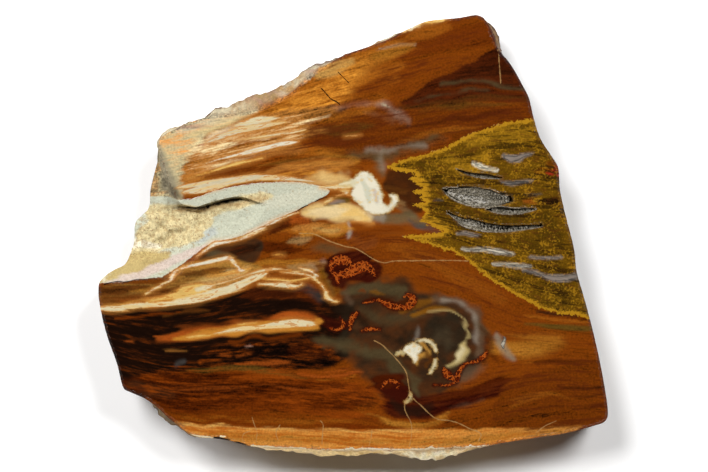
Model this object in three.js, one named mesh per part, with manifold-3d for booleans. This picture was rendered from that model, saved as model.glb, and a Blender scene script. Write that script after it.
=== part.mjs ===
// A slice of petrified wood: a flat slab of silicified log, sawn across, with one face polished.
// It lies on its sawn back (z = 0) with the polished face up. The rim follows the broken log,
// a natural sandy hollow eats into the left side, and narrow slits in the right half hold quartz crystals.
// Millimetres, +Z up, origin under the middle of the slice, on its back.

import * as THREE from "three";
import { mergeVertices } from "three/addons/utils/BufferGeometryUtils.js";
import Module from "manifold-3d";

const wasm = await Module();
wasm.setup();

// Driving dimensions
const THICKNESS = 24;
const RIM_ROUNDING = 0.5; // the worn edge between the polished face and the sides
const WIDEST_AT = 0.38; // how far down the sides the rind stands out most, as a share of the thickness
const BACK_INSET = 1.6; // how far the sawn back lies inside the widest outline
const RIDGE_HEIGHT = 0.7; // ridges of wood fibre that run down the sides
const RIDGE_SPACING = 5.2;
const KNOB_HEIGHT = 0.6; // lumps between the ridges
const KNOB_SPACING = 9;
const LEDGE_HEIGHT = 0.8; // broken ledges in the rind
const LEDGE_SPACING = 13;
const LEDGE_LEVELS = 2; // steps of a ledge, in and out
const RIDGES_DOWN = 1.5; // ridges, knobs and ledges over the thickness
const KNOBS_DOWN = 4;
const LEDGES_DOWN = 3;
const KNOBS_SHIFT = 40; // keeps the knobs and the ledges from repeating the ridges
const LEDGES_SHIFT = 90;
const LEAST_RUGGED = 0.35; // how rugged the sides are where the rind doesn't stand out, as a share
const RUGGED_WITHIN = 1 / 6; // share of the thickness over which the ruggedness sets in under the face
const OUTLINE_MIDDLE = [0.05, -0.77]; // middle of the outline's own box, moved to the origin

// Mesh fineness
const OUTLINE_STEPS = 208;
const LENGTH_STEPS = 2000; // for measuring along the rim
const SIDE_RINGS = 8;
const HOLLOW_STEP = 1.5;
const WALL_STEPS = 90;
const SLIT_STEPS = 11;

// The rim of the slice, counter-clockwise from the left tip: x, y, and how far the rind stands out beyond it.
const RIM = [
  [-76.4, -17.4, 0.1], [-75.3, -24.6, 0.1], [-73.5, -31.2, 0.1], [-70.9, -38.4, 0.1], [-68.7, -46.2, 0.1],
  [-67.5, -46.9, 0.3], [-63.3, -48.7, 0.6], [-60.9, -50.1, 1.2], [-58.2, -52.2, 1.8], [-55.8, -54.6, 1.8],
  [-53.1, -56.7, 1.2], [-48.9, -59.8, 0.9], [-45.9, -60.7, 0.6], [-41.4, -61.1, 0.6], [-37.5, -61.6, 0.4],
  [-33.6, -62.7, 0.4], [-30.3, -63.4, 0.6], [-25.5, -63.6, 1.2], [-18.9, -63.9, 1.8], [-11.4, -64.2, 1.3],
  [-6.6, -64.6, 1.2], [-0.9, -64.6, 1.9], [4.5, -64.3, 2.4], [9.9, -64.1, 3.0], [15.9, -64.4, 3.0],
  [23.1, -64.2, 3.3], [31.5, -63.7, 3.0], [36.6, -63.5, 2.1], [40.2, -63.3, 1.2], [42.9, -62.7, 0.6],
  [47.7, -62.0, 0.3], [56.1, -60.7, 0.3], [63.9, -59.5, 0.3], [72.9, -57.1, 0.3], [75.3, -56.2, 0.2],
  [76.3, -54.9, 0.2], [76.5, -52.8, 0.1], [75.0, -42.6, 0.1], [72.6, -31.2, 0.1], [69.9, -20.7, 0.1],
  [67.0, -10.3, 0.1], [66.5, -5.1, 0.1], [63.9, 5.7, 0.1], [62.1, 13.5, 0.1], [61.5, 20.5, 0.3],
  [60.2, 22.8, 0.3], [56.2, 29.1, 0.2], [54.3, 34.9, 0.2], [52.7, 41.4, 0.3], [51.0, 44.7, 0.9],
  [49.2, 48.1, 0.3], [46.6, 52.2, 0.3], [45.0, 54.0, 1.2], [43.2, 56.4, 2.1], [42.3, 59.1, 2.4],
  [40.8, 62.7, 2.4], [39.0, 65.1, 1.2], [37.2, 66.0, 0.6], [32.7, 65.3, 0.3], [22.5, 64.2, 0.4],
  [19.8, 63.3, 0.6], [14.7, 60.9, 0.7], [9.6, 58.3, 0.7], [4.2, 56.4, 0.6], [-0.9, 54.7, 0.9],
  [-4.5, 53.1, 1.5], [-8.4, 50.7, 2.4], [-12.9, 47.7, 3.3], [-16.8, 44.1, 4.2], [-21.9, 40.6, 5.1],
  [-27.3, 38.1, 5.1], [-32.7, 36.7, 4.5], [-38.1, 36.1, 4.2], [-42.3, 35.7, 3.4], [-45.0, 35.1, 1.4],
  [-49.5, 33.6, 1.2], [-53.7, 31.6, 1.0], [-57.0, 29.7, 1.0], [-58.4, 27.3, 0.8], [-58.6, 24.9, 0.5],
  [-60.1, 18.6, 0.2], [-61.3, 13.5, 0.2], [-61.8, 8.4, 0.2], [-63.9, 6.0, 0.3], [-65.8, 4.2, 0.3],
  [-66.4, -2.4, 0.3], [-67.6, -6.1, 0.3], [-69.1, -9.0, 0.3], [-71.7, -10.3, 0.3], [-74.1, -11.8, 0.2],
  [-76.0, -13.8, 0.2],
];

// The sandy hollow on the left. Its upper side is a wall under the polished lobe and a thin lip,
// and its lower side is a gentle slope that fades into the polished face.
// The last points of each outline only close it, outside the stone or beyond the other outline.
const HOLLOW_WALL = [
  [-62, 30], [-58.2, 25.6], [-56.6, 21.0], [-55.4, 17.4], [-53.4, 14.0], [-50.6, 11.6], [-46.0, 11.2],
  [-41.5, 12.4], [-37.5, 13.9], [-33.6, 14.4], [-30.5, 13.6], [-22, 9], [-24, -8], [-60, -26], [-90, -26],
  [-90, 30],
];
const HOLLOW_SLOPE = [
  [-95, -14.4], [-74.4, -14.4], [-69.9, -14.2], [-64.5, -13.2], [-57.0, -12.6], [-54.9, -13.4], [-50.4, -9.8],
  [-45.6, -5.4], [-41.4, -2.6], [-35, -0.4], [-29, 4], [-25.6, 9.4], [-24, 14], [-26, 40], [-95, 40],
];
const WALL_RUN = 1.6; // how far the foot of the wall lies inside its top
const WALL_DEPTH = 11;
const WALL_KNEE = { depth: 0.3, run: 0.7 }; // shares of the depth and the run where the wall bends
const WALL_FLUTES = 0.5; // height of the ridges down the wall
const FLUTE_ROW = 7; // the row of scattered numbers that the ridges take their heights from
const SLOPE_RUN = 9; // how wide the gentle slope is
const FLOOR_DEPTH = 2.4; // under the lip
const FLOOR_FALL = 0.17; // how much deeper the floor gets for each millimetre towards the left side
const FLOOR_FALL_FROM = -36;
const GRIT_HEIGHT = 0.5;
const GRIT_SPACING = 2.4;
const GRIT_WITHIN = 1 / 3; // share of the slope over which the grit sets in
const HOLLOW_PATCH = { west: -84, east: -18, south: -20, north: 34 }; // a patch that is wider than the hollow
const OVER_FACE = 5; // how far the space over the sandy floor reaches above the polished face
const WALL_OVER_FACE = 4;

// The slits: stations along each, x, y and half its width there.
const WIDE_SLIT = {
  depth: 6,
  stations: [
    [27.3, 13.5, 0.2], [30.6, 12.6, 1.4], [34.2, 11.9, 2.3], [38.1, 11.4, 2.7], [41.7, 11.0, 2.1],
    [45.6, 10.7, 1.2], [47.7, 10.5, 0.3],
  ],
};
const SHORT_SLIT = {
  depth: 3.6,
  stations: [[40.5, 7.6, 0.2], [43.8, 7.6, 0.9], [47.7, 7.2, 0.8], [51.3, 7.3, 0.7], [54.3, 7.9, 0.2]],
};
const LONG_SLIT = {
  depth: 4.6,
  stations: [
    [28.8, 6.6, 0.2], [30.9, 5.4, 0.5], [33.0, 4.1, 0.9], [35.7, 3.6, 1.2], [38.7, 2.8, 1.2],
    [42.3, 2.2, 1.1], [46.5, 1.9, 1.0], [50.7, 2.3, 0.7], [54.3, 2.6, 0.5], [56.4, 2.8, 0.2],
  ],
};
const THIN_SLIT = {
  depth: 2.2,
  stations: [[31.5, 19.5, 0.2], [33.9, 18.6, 0.5], [36.9, 18.0, 0.6], [40.2, 17.7, 0.6], [44.4, 17.1, 0.2]],
};

const SLIT_LEVELS = [1, 0.85, 0.5, 0]; // how far down each ring of a slit lies, as a share of its depth
const SLIT_TAPER = 0.85; // how much a slit narrows towards its keel
const NARROWEST = 0.06; // least half width of a slit or a crust
const END_CUT = 1 / 20; // share of a slit's length that its ends lose for each millimetre of inset

// The quartz crust in a slit
const CRUST_GAP = 0.3; // clearance between the crust and the stone around it
const CRUST_BELOW_FACE = 0.5;
const CRUST_WALL = 0.8;
const CRUST_FILL = 0.5; // how deep the crust lies in a slit too narrow for walls, as a share of its depth
const NARROWEST_WITH_WALLS = 2; // half width of the slit
const CRYSTAL_SPACING = 1.1;
const CRYSTAL_RADIUS = 0.5;
const CRYSTAL_LENGTH = 1.5;
const CRYSTAL_SUNK = 0.25; // share of a crystal's length that is inside the crust
const CRYSTAL_SIDES = 6;
const SMALLEST_CRYSTAL = 0.6; // as a share of the full size
const LEAST_SHARE = 0.5; // a crystal that a narrow slit would make smaller than this is left out
const ROOM_FOR_SIDE_ROWS = 0.3; // least open half width that has crystals down its sides
const CRYSTAL_ROW = 3; // the row of scattered numbers that the crystals take their sizes from
const SIDE_ROW_DEPTH = 0.45; // how deep the rows down the sides lie, as a share of the slit's depth

const CLEAR_CUT = 1; // how far a cut reaches past the face that it goes through
const WOOD_COLOUR = 0x8a4a1c;
const WOOD_ROUGHNESS = 0.2;
const QUARTZ_COLOUR = 0xd9d6d2;
const QUARTZ_ROUGHNESS = 0.15;

const mix = (a, b, t) => a + (b - a) * t;
const ease = (t) => t * t * (3 - 2 * t);
const clamp01 = (t) => Math.min(1, Math.max(0, t));

// A repeatable number from 0 to 1 for a whole-number place.
function scatter(i, j) {
  const s = Math.sin(i * 127.1 + j * 311.7) * 43758.5453;
  return s - Math.floor(s);
}

// Smooth lumps from -1 to 1, about one unit across.
function lumps(x, y) {
  const i = Math.floor(x);
  const j = Math.floor(y);
  const u = ease(x - i);
  const v = ease(y - j);
  const low = mix(scatter(i, j), scatter(i + 1, j), u);
  const high = mix(scatter(i, j + 1), scatter(i + 1, j + 1), u);
  return mix(low, high, v) * 2 - 1;
}

// How far a point lies inside a closed outline. It is negative outside.
function inside(x, y, outline) {
  let nearest = Infinity;
  let within = false;
  for (let k = 0; k < outline.length; k++) {
    const [ax, ay] = outline[k];
    const [bx, by] = outline[(k + 1) % outline.length];
    const along = clamp01(((x - ax) * (bx - ax) + (y - ay) * (by - ay)) / ((bx - ax) ** 2 + (by - ay) ** 2));
    nearest = Math.min(nearest, Math.hypot(x - mix(ax, bx, along), y - mix(ay, by, along)));
    if (ay > y !== by > y && x < mix(ax, bx, (y - ay) / (by - ay))) within = !within;
  }
  return within ? nearest : -nearest;
}

// Solids and geometry

function geometryOf(points, triangles) {
  const geometry = new THREE.BufferGeometry();
  geometry.setAttribute("position", new THREE.Float32BufferAttribute(points.flat(), 3));
  geometry.setIndex(triangles.flat());
  return geometry;
}

function solidOf(geometry) {
  const merged = mergeVertices(geometry, 1e-4);
  return new wasm.Manifold(
    new wasm.Mesh({
      numProp: 3,
      vertProperties: new Float32Array(merged.attributes.position.array),
      triVerts: new Uint32Array(merged.index.array),
    }),
  );
}

function geometryOfSolid(solid) {
  const made = solid.getMesh();
  const geometry = new THREE.BufferGeometry();
  geometry.setAttribute("position", new THREE.BufferAttribute(new Float32Array(made.vertProperties), 3));
  geometry.setIndex(new THREE.BufferAttribute(new Uint32Array(made.triVerts), 1));
  geometry.computeVertexNormals();
  return geometry;
}

// A closed solid through rings with the same count of points, lowest first, counter-clockwise from above.
function stacked(rings) {
  const count = rings[0].length;
  const triangles = [];
  for (let r = 0; r + 1 < rings.length; r++) {
    for (let k = 0; k < count; k++) {
      const a = r * count + k;
      const b = r * count + ((k + 1) % count);
      triangles.push([a, b, b + count], [a, b + count, a + count]);
    }
  }
  const flat = (ring) => ring.map(([x, y]) => new THREE.Vector2(x, y));
  const capOf = (ring) => THREE.ShapeUtils.triangulateShape(flat(ring), []);
  const top = (rings.length - 1) * count;
  for (const [a, b, c] of capOf(rings[0])) triangles.push([a, c, b]);
  for (const [a, b, c] of capOf(rings.at(-1))) triangles.push([top + a, top + b, top + c]);
  return geometryOf(rings.flat(), triangles);
}

// The slab

function rimSamples() {
  const curve = new THREE.CatmullRomCurve3(
    RIM.map(([x, y, flare]) => new THREE.Vector3(x - OUTLINE_MIDDLE[0], y - OUTLINE_MIDDLE[1], flare)),
    true,
    "centripetal",
  );
  curve.arcLengthDivisions = LENGTH_STEPS;
  const places = curve.getSpacedPoints(OUTLINE_STEPS).slice(0, OUTLINE_STEPS);
  const length = curve.getLength();
  return places.map((p, k) => {
    const before = places[(k + OUTLINE_STEPS - 1) % OUTLINE_STEPS];
    const after = places[(k + 1) % OUTLINE_STEPS];
    const across = new THREE.Vector2(after.y - before.y, before.x - after.x).normalize();
    return { x: p.x, y: p.y, flare: p.z, across, along: (length * k) / OUTLINE_STEPS };
  });
}

// How far the side stands out from the rim, at a share of the way down from the face to the back.
function standsOut(sample, down) {
  const swell = down < WIDEST_AT ? Math.sin((down / WIDEST_AT) * Math.PI * 0.5) : 1;
  const undercut = BACK_INSET * ease(clamp01((down - WIDEST_AT) / (1 - WIDEST_AT)));
  const ruggedness = clamp01(LEAST_RUGGED + sample.flare) * clamp01(down / RUGGED_WITHIN);
  const ridges = lumps(sample.along / RIDGE_SPACING, down * RIDGES_DOWN) * RIDGE_HEIGHT;
  const knobs = lumps(sample.along / KNOB_SPACING + KNOBS_SHIFT, down * KNOBS_DOWN) * KNOB_HEIGHT;
  const ledge = lumps(sample.along / LEDGE_SPACING + LEDGES_SHIFT, down * LEDGES_DOWN);
  const ledges = (Math.round(ledge * LEDGE_LEVELS) / LEDGE_LEVELS) * LEDGE_HEIGHT;
  return sample.flare * swell - undercut + (ridges + knobs + ledges - RIDGE_HEIGHT) * ruggedness;
}

function slabSolid() {
  const samples = rimSamples();
  const rings = [];
  for (let r = 0; r <= SIDE_RINGS; r++) {
    const down = 1 - r / SIDE_RINGS;
    rings.push(
      samples.map((s) => {
        const out = standsOut(s, down) - (down === 0 ? RIM_ROUNDING : 0);
        return [s.x + s.across.x * out, s.y + s.across.y * out, THICKNESS * (1 - down)];
      }),
    );
  }
  const worn = samples.map((s) => [s.x, s.y, THICKNESS - RIM_ROUNDING]);
  rings.splice(SIDE_RINGS, 0, worn);
  return solidOf(stacked(rings));
}

// The sandy hollow

// How deep the sandy floor lies below the face, with no regard to the wall. It is negative outside.
function floorDepth(x, y) {
  const u = x + OUTLINE_MIDDLE[0];
  const v = y + OUTLINE_MIDDLE[1];
  const slope = inside(u, v, HOLLOW_SLOPE) / SLOPE_RUN;
  if (slope < 0) return Math.max(slope, -1);
  const floor = FLOOR_DEPTH + Math.max(0, FLOOR_FALL_FROM - u) * FLOOR_FALL;
  const grit = lumps(u / GRIT_SPACING, v / GRIT_SPACING) * GRIT_HEIGHT * clamp01(slope / GRIT_WITHIN);
  return floor * Math.sqrt(clamp01(slope)) + grit;
}

// Everything above the sandy floor.
function spaceOverFloor() {
  const { west, east, south, north } = HOLLOW_PATCH;
  const columns = Math.round((east - west) / HOLLOW_STEP);
  const rows = Math.round((north - south) / HOLLOW_STEP);
  const low = [];
  const high = [];
  for (let j = 0; j <= rows; j++) {
    for (let i = 0; i <= columns; i++) {
      const x = mix(west, east, i / columns);
      const y = mix(south, north, j / rows);
      low.push([x, y, THICKNESS - floorDepth(x, y)]);
      high.push([x, y, THICKNESS + OVER_FACE]);
    }
  }
  const at = (i, j) => j * (columns + 1) + i;
  const lift = low.length;
  const triangles = [];
  for (let j = 0; j < rows; j++) {
    for (let i = 0; i < columns; i++) {
      const [a, b, c, d] = [at(i, j), at(i + 1, j), at(i + 1, j + 1), at(i, j + 1)];
      triangles.push([a, c, b], [a, d, c], [lift + a, lift + b, lift + c], [lift + a, lift + c, lift + d]);
    }
  }
  const edge = [];
  for (let i = 0; i < columns; i++) edge.push(at(i, 0));
  for (let j = 0; j < rows; j++) edge.push(at(columns, j));
  for (let i = columns; i > 0; i--) edge.push(at(i, rows));
  for (let j = rows; j > 0; j--) edge.push(at(0, j));
  edge.forEach((a, k) => {
    const b = edge[(k + 1) % edge.length];
    triangles.push([a, b, lift + b], [a, lift + b, lift + a]);
  });
  return solidOf(geometryOf([...low, ...high], triangles));
}

// The space inside the hollow's wall, which leans in towards its foot and is fluted by the wood fibre.
function spaceInWall() {
  const [middleX, middleY] = OUTLINE_MIDDLE;
  const outline = HOLLOW_WALL.map(([x, y]) => new THREE.Vector3(x - middleX, y - middleY, 0));
  const curve = new THREE.CatmullRomCurve3(outline.reverse(), true, "centripetal");
  const places = curve.getSpacedPoints(WALL_STEPS).slice(0, WALL_STEPS);
  const ringAt = (height, inwards) =>
    places.map((p, k) => {
      const before = places[(k + WALL_STEPS - 1) % WALL_STEPS];
      const after = places[(k + 1) % WALL_STEPS];
      const out = new THREE.Vector2(after.y - before.y, before.x - after.x).normalize();
      const flute = scatter(k, FLUTE_ROW) * WALL_FLUTES * Math.min(1, inwards);
      return [p.x - out.x * (inwards - flute), p.y - out.y * (inwards - flute), height];
    });
  const knee = [WALL_DEPTH * WALL_KNEE.depth, WALL_RUN * WALL_KNEE.run];
  const levels = [[WALL_DEPTH, WALL_RUN], knee, [0, 0], [-WALL_OVER_FACE, 0]];
  return solidOf(stacked(levels.map(([depth, inwards]) => ringAt(THICKNESS - depth, inwards))));
}

// The slits and their crystals

// The closed outline of a slit, with both sides moved in by a distance.
function slitOutline(slit, inset, narrowing) {
  const [middleX, middleY] = OUTLINE_MIDDLE;
  const curve = new THREE.CatmullRomCurve3(
    slit.stations.map(([x, y, half]) => new THREE.Vector3(x - middleX, y - middleY, half)),
  );
  const near = [];
  const far = [];
  for (let k = 0; k <= SLIT_STEPS; k++) {
    const share = mix(inset * END_CUT, 1 - inset * END_CUT, k / SLIT_STEPS);
    const place = curve.getPoint(share);
    const heading = curve.getTangent(share);
    const across = new THREE.Vector2(heading.y, -heading.x).normalize();
    const half = Math.max(NARROWEST, place.z * narrowing - inset);
    near.push([place.x + across.x * half, place.y + across.y * half]);
    far.unshift([place.x - across.x * half, place.y - across.y * half]);
  }
  return [...near, ...far];
}

// A boat-shaped space under a slit's outline, from its keel up to a height.
function boat(slit, inset, top) {
  const keel = THICKNESS - slit.depth + inset;
  const rings = SLIT_LEVELS.map((down) => {
    const narrowing = Math.sqrt(1 - down * down * SLIT_TAPER);
    return slitOutline(slit, inset, narrowing).map(([x, y]) => [x, y, mix(top, keel, down)]);
  });
  return solidOf(stacked(rings));
}

// One pointed quartz crystal whose foot is at a place, leaning towards a point in the open slit.
function crystal(place, towards, size) {
  const length = CRYSTAL_LENGTH * size;
  const body = new THREE.CylinderGeometry(0, CRYSTAL_RADIUS * size, length, CRYSTAL_SIDES, 1);
  body.deleteAttribute("normal");
  body.deleteAttribute("uv");
  body.translate(0, length * (0.5 - CRYSTAL_SUNK), 0);
  const lean = new THREE.Vector3().subVectors(towards, place).normalize();
  body.applyQuaternion(new THREE.Quaternion().setFromUnitVectors(new THREE.Vector3(0, 1, 0), lean));
  body.translate(place.x, place.y, place.z);
  return solidOf(body);
}

// Crystals in rows along a slit. Each row is a share of the way across the open space, and a height.
function crystalRows(slit, rows, clearance) {
  const stations = slit.stations.map(([x, y, half]) => new THREE.Vector3(x, y, half));
  const curve = new THREE.CatmullRomCurve3(stations);
  const count = Math.floor(curve.getLength() / CRYSTAL_SPACING);
  const crystals = [];
  for (let k = 1; k < count; k++) {
    const { x, y, z: half } = curve.getPoint(k / count);
    const heading = curve.getTangent(k / count);
    const across = new THREE.Vector3(heading.y, -heading.x, 0).normalize();
    const room = half - clearance;
    for (const [side, height] of rows) {
      const fits = Math.min(1, (half - CRUST_GAP) / CRYSTAL_RADIUS);
      const size = mix(SMALLEST_CRYSTAL, 1, scatter(k, side + CRYSTAL_ROW)) * fits;
      if (size < LEAST_SHARE || (side !== 0 && room < ROOM_FOR_SIDE_ROWS)) continue;
      const foot = new THREE.Vector3(x - OUTLINE_MIDDLE[0], y - OUTLINE_MIDDLE[1], height);
      const over = foot.clone().setZ(THICKNESS);
      crystals.push(crystal(foot.addScaledVector(across, side * Math.max(0, room)), over, size));
    }
  }
  return crystals;
}

function crustSolid(slit) {
  const top = THICKNESS - CRUST_BELOW_FACE;
  const widest = Math.max(...slit.stations.map(([, , half]) => half));
  const fill = (solid, crystals) => crystals.reduce((sum, next) => sum.add(next), solid);
  if (widest < NARROWEST_WITH_WALLS) {
    const floor = THICKNESS - slit.depth * CRUST_FILL;
    return fill(boat(slit, CRUST_GAP, floor), crystalRows(slit, [[0, floor]], CRUST_GAP));
  }
  const wall = CRUST_GAP + CRUST_WALL;
  const shell = boat(slit, CRUST_GAP, top).subtract(boat(slit, wall, top + CLEAR_CUT));
  const floor = THICKNESS - slit.depth + wall;
  const halfway = THICKNESS - slit.depth * SIDE_ROW_DEPTH;
  return fill(shell, crystalRows(slit, [[-1, halfway], [0, floor], [1, halfway]], wall));
}

// The finished pieces

function piece(name, solid, colour, roughness) {
  const material = new THREE.MeshStandardMaterial({ color: colour, roughness, metalness: 0 });
  const mesh = new THREE.Mesh(geometryOfSolid(solid), material);
  mesh.name = name;
  return mesh;
}

const slice = [WIDE_SLIT, SHORT_SLIT, LONG_SLIT, THIN_SLIT].reduce(
  (stone, slit) => stone.subtract(boat(slit, 0, THICKNESS + CLEAR_CUT)),
  slabSolid().subtract(spaceOverFloor().intersect(spaceInWall())),
);

const group = new THREE.Group();
group.add(piece("petrified_wood_slice", slice, WOOD_COLOUR, WOOD_ROUGHNESS));
group.add(piece("quartz_crust_wide_slit", crustSolid(WIDE_SLIT), QUARTZ_COLOUR, QUARTZ_ROUGHNESS));
group.add(piece("quartz_crust_short_slit", crustSolid(SHORT_SLIT), QUARTZ_COLOUR, QUARTZ_ROUGHNESS));
group.add(piece("quartz_crust_long_slit", crustSolid(LONG_SLIT), QUARTZ_COLOUR, QUARTZ_ROUGHNESS));

export default group;
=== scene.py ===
"""A polished slice of petrified wood, with a sandy hollow and quartz in its slits, on a pale floor."""

import math

import bpy
import numpy as np
from bpy.props import FloatProperty, FloatVectorProperty, IntProperty, PointerProperty
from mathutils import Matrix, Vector
from mathutils.geometry import delaunay_2d_cdt


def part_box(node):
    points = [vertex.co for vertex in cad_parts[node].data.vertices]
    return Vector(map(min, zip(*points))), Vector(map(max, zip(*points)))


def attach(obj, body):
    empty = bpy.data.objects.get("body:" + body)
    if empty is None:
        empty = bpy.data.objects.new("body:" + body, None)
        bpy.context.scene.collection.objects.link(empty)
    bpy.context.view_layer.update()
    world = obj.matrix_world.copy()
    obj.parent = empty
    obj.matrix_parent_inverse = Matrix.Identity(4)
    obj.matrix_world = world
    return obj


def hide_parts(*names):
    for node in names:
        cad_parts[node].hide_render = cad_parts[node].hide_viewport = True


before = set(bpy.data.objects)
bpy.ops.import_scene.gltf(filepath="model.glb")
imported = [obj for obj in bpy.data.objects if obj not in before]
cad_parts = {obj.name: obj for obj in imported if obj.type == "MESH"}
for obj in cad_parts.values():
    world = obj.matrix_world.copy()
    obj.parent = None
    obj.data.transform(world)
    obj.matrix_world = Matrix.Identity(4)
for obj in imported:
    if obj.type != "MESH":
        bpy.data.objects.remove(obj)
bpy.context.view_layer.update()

bl_info = {
    "name": "Petrified wood slice",
    "version": (1, 0, 0),
    "blender": (4, 5, 0),
    "location": "3D View > Sidebar > Stone",
    "description": "Builds a polished slice of petrified wood with quartz in its slits",
    "category": "Add Mesh",
}

# Sizes are in millimetres until a mesh is made
MM = 0.001
BACK, FACE = (corner.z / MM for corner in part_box("petrified_wood_slice"))
THICKNESS = FACE - BACK
OUTLINE_MIDDLE = (0.05, -0.77)

# Places in the pattern are pixels of the photograph, right and down
PIXEL = 0.3
PATTERN_ORIGIN = (353.0, 235.0)

# The rim, counter-clockwise from the left tip: x, y and how far the rind stands out beyond it
RIM = [
    (-76.4, -17.4, 0.1), (-75.3, -24.6, 0.1), (-73.5, -31.2, 0.1), (-70.9, -38.4, 0.1), (-68.7, -46.2, 0.1),
    (-67.5, -46.9, 0.3), (-63.3, -48.7, 0.6), (-60.9, -50.1, 1.2), (-58.2, -52.2, 1.8), (-55.8, -54.6, 1.8),
    (-53.1, -56.7, 1.2), (-48.9, -59.8, 0.9), (-45.9, -60.7, 0.6), (-41.4, -61.1, 0.6), (-37.5, -61.6, 0.4),
    (-33.6, -62.7, 0.8), (-30.3, -63.5, 1.4), (-25.5, -63.8, 2.0), (-18.9, -64.1, 2.6), (-11.4, -64.4, 2.4),
    (-6.6, -64.7, 2.6), (-0.9, -64.7, 3.0), (4.5, -64.5, 3.3), (9.9, -64.5, 3.4), (15.9, -64.6, 3.4),
    (23.1, -64.4, 3.5), (31.5, -63.9, 3.5), (36.6, -63.7, 2.9), (40.2, -63.4, 2.0), (42.9, -62.8, 1.2),
    (47.7, -62.0, 0.3), (56.1, -60.7, 0.3), (63.9, -59.5, 0.3), (72.9, -57.1, 0.3), (75.3, -56.2, 0.2),
    (76.3, -54.9, 0.2), (76.5, -52.8, 0.1), (75.0, -42.6, 0.1), (72.6, -31.2, 0.1), (69.9, -20.7, 0.1),
    (67.0, -10.3, 0.1), (66.5, -5.1, 0.1), (63.9, 5.7, 0.1), (62.1, 13.5, 0.1), (61.5, 20.5, 0.3),
    (60.2, 22.8, 0.3), (56.2, 29.1, 0.2), (54.3, 34.9, 0.2), (52.7, 41.4, 0.3), (51.0, 44.7, 0.9),
    (49.2, 48.1, 0.3), (46.6, 52.2, 0.3), (45.0, 54.0, 1.2), (43.2, 56.4, 2.1), (42.3, 59.1, 2.4),
    (40.8, 62.7, 2.4), (39.0, 65.1, 1.2), (37.2, 66.0, 0.6), (32.7, 65.3, 0.3), (22.5, 64.2, 0.4),
    (19.8, 63.3, 0.6), (14.7, 60.9, 0.7), (9.6, 58.3, 0.7), (4.2, 56.4, 0.6), (-0.9, 54.7, 0.9),
    (-4.5, 53.1, 1.5), (-8.4, 50.7, 2.4), (-12.9, 47.7, 3.3), (-16.8, 44.1, 4.2), (-21.9, 40.6, 5.1),
    (-27.3, 38.1, 5.1), (-32.7, 36.7, 4.5), (-38.1, 36.1, 4.2), (-42.3, 35.7, 3.4), (-45.0, 35.1, 1.4),
    (-49.5, 33.6, 1.2), (-53.7, 31.6, 1.0), (-57.0, 29.7, 1.0), (-58.4, 27.3, 0.8), (-58.6, 24.9, 0.5),
    (-60.1, 18.6, 0.2), (-61.3, 13.5, 0.2), (-61.8, 8.4, 0.2), (-63.9, 6.0, 0.3), (-65.8, 4.2, 0.3),
    (-66.4, -2.4, 0.3), (-67.6, -6.1, 0.3), (-69.1, -9.0, 0.3), (-71.7, -10.3, 0.3), (-74.1, -11.8, 0.2),
    (-76.0, -13.8, 0.2),
]
WIDEST_AT = 0.38
BACK_INSET = 1.6
BACK_STEP = 2.4

# The sandy hollow: a wall on its upper side, a gentle slope on its lower side, both in millimetres
HOLLOW_WALL = [
    (-62, 30), (-58.2, 25.6), (-56.6, 21.0), (-55.4, 17.4), (-53.8, 13.0), (-51.9, 9.7), (-49.8, 8.9),
    (-47.1, 8.5), (-44.1, 9.4), (-40.2, 10.5), (-36.9, 11.3), (-34.2, 11.6), (-31.8, 11.1), (-29.4, 10.2),
    (-22, 7), (-24, -8), (-60, -26), (-90, -26), (-90, 30),
]
HOLLOW_SLOPE = [
    (-95, -14.4), (-74.4, -14.4), (-69.9, -14.2), (-64.5, -13.2), (-57.0, -12.6), (-54.9, -13.4),
    (-50.4, -9.8), (-45.6, -5.4), (-41.4, -2.6), (-35, -0.4), (-29, 4), (-25.6, 9.4), (-24, 14), (-26, 40),
    (-95, 40),
]
SLOPE_RUN = 9.0
FLOOR_DEPTH = 2.4
FLOOR_FALL = 0.17
FLOOR_FALL_FROM = -36.0

# The open slits: x, y and half width, in millimetres, and how deep each is
SLITS = {
    "wide_slit": (6.0, [(27.3, 13.5, 0.2), (30.6, 12.6, 1.4), (34.2, 11.9, 2.3), (38.1, 11.4, 2.7),
                        (41.7, 11.0, 2.1), (45.6, 10.7, 1.2), (47.7, 10.5, 0.3)]),
    "short_slit": (3.6, [(40.5, 7.6, 0.2), (43.8, 7.6, 0.9), (47.7, 7.2, 0.8), (51.3, 7.3, 0.7),
                         (54.3, 7.9, 0.2)]),
    "long_slit": (4.6, [(28.8, 6.6, 0.2), (30.9, 5.4, 0.5), (33.0, 4.1, 0.9), (35.7, 3.6, 1.2),
                        (38.7, 2.8, 1.2), (42.3, 2.2, 1.1), (46.5, 1.9, 1.0), (50.7, 2.3, 0.7),
                        (54.3, 2.6, 0.5), (56.4, 2.8, 0.2)]),
    "thin_slit": (2.2, [(31.5, 19.5, 0.2), (33.9, 18.6, 0.5), (36.9, 18.0, 0.6), (40.2, 17.7, 0.6),
                        (44.4, 17.1, 0.2)]),
}
# How far below the face the quartz lies along each slit: a share of its length, and millimetres
CRUST_LEVELS = {
    "wide_slit": [(0, 1.2), (0.3, 1.4), (0.55, 1.6), (0.75, 2.8), (0.9, 2.6), (1, 1.4)],
    "short_slit": [(0, 1.6), (0.3, 2.7), (0.6, 2.7), (1, 1.6)],
    "long_slit": [(0, 1.8), (0.38, 1.9), (0.46, 3.4), (0.8, 3.4), (0.9, 2.0), (1, 1.8)],
}
CRUST_GAP = 0.06
CRUST_EDGE = 0.75

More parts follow.
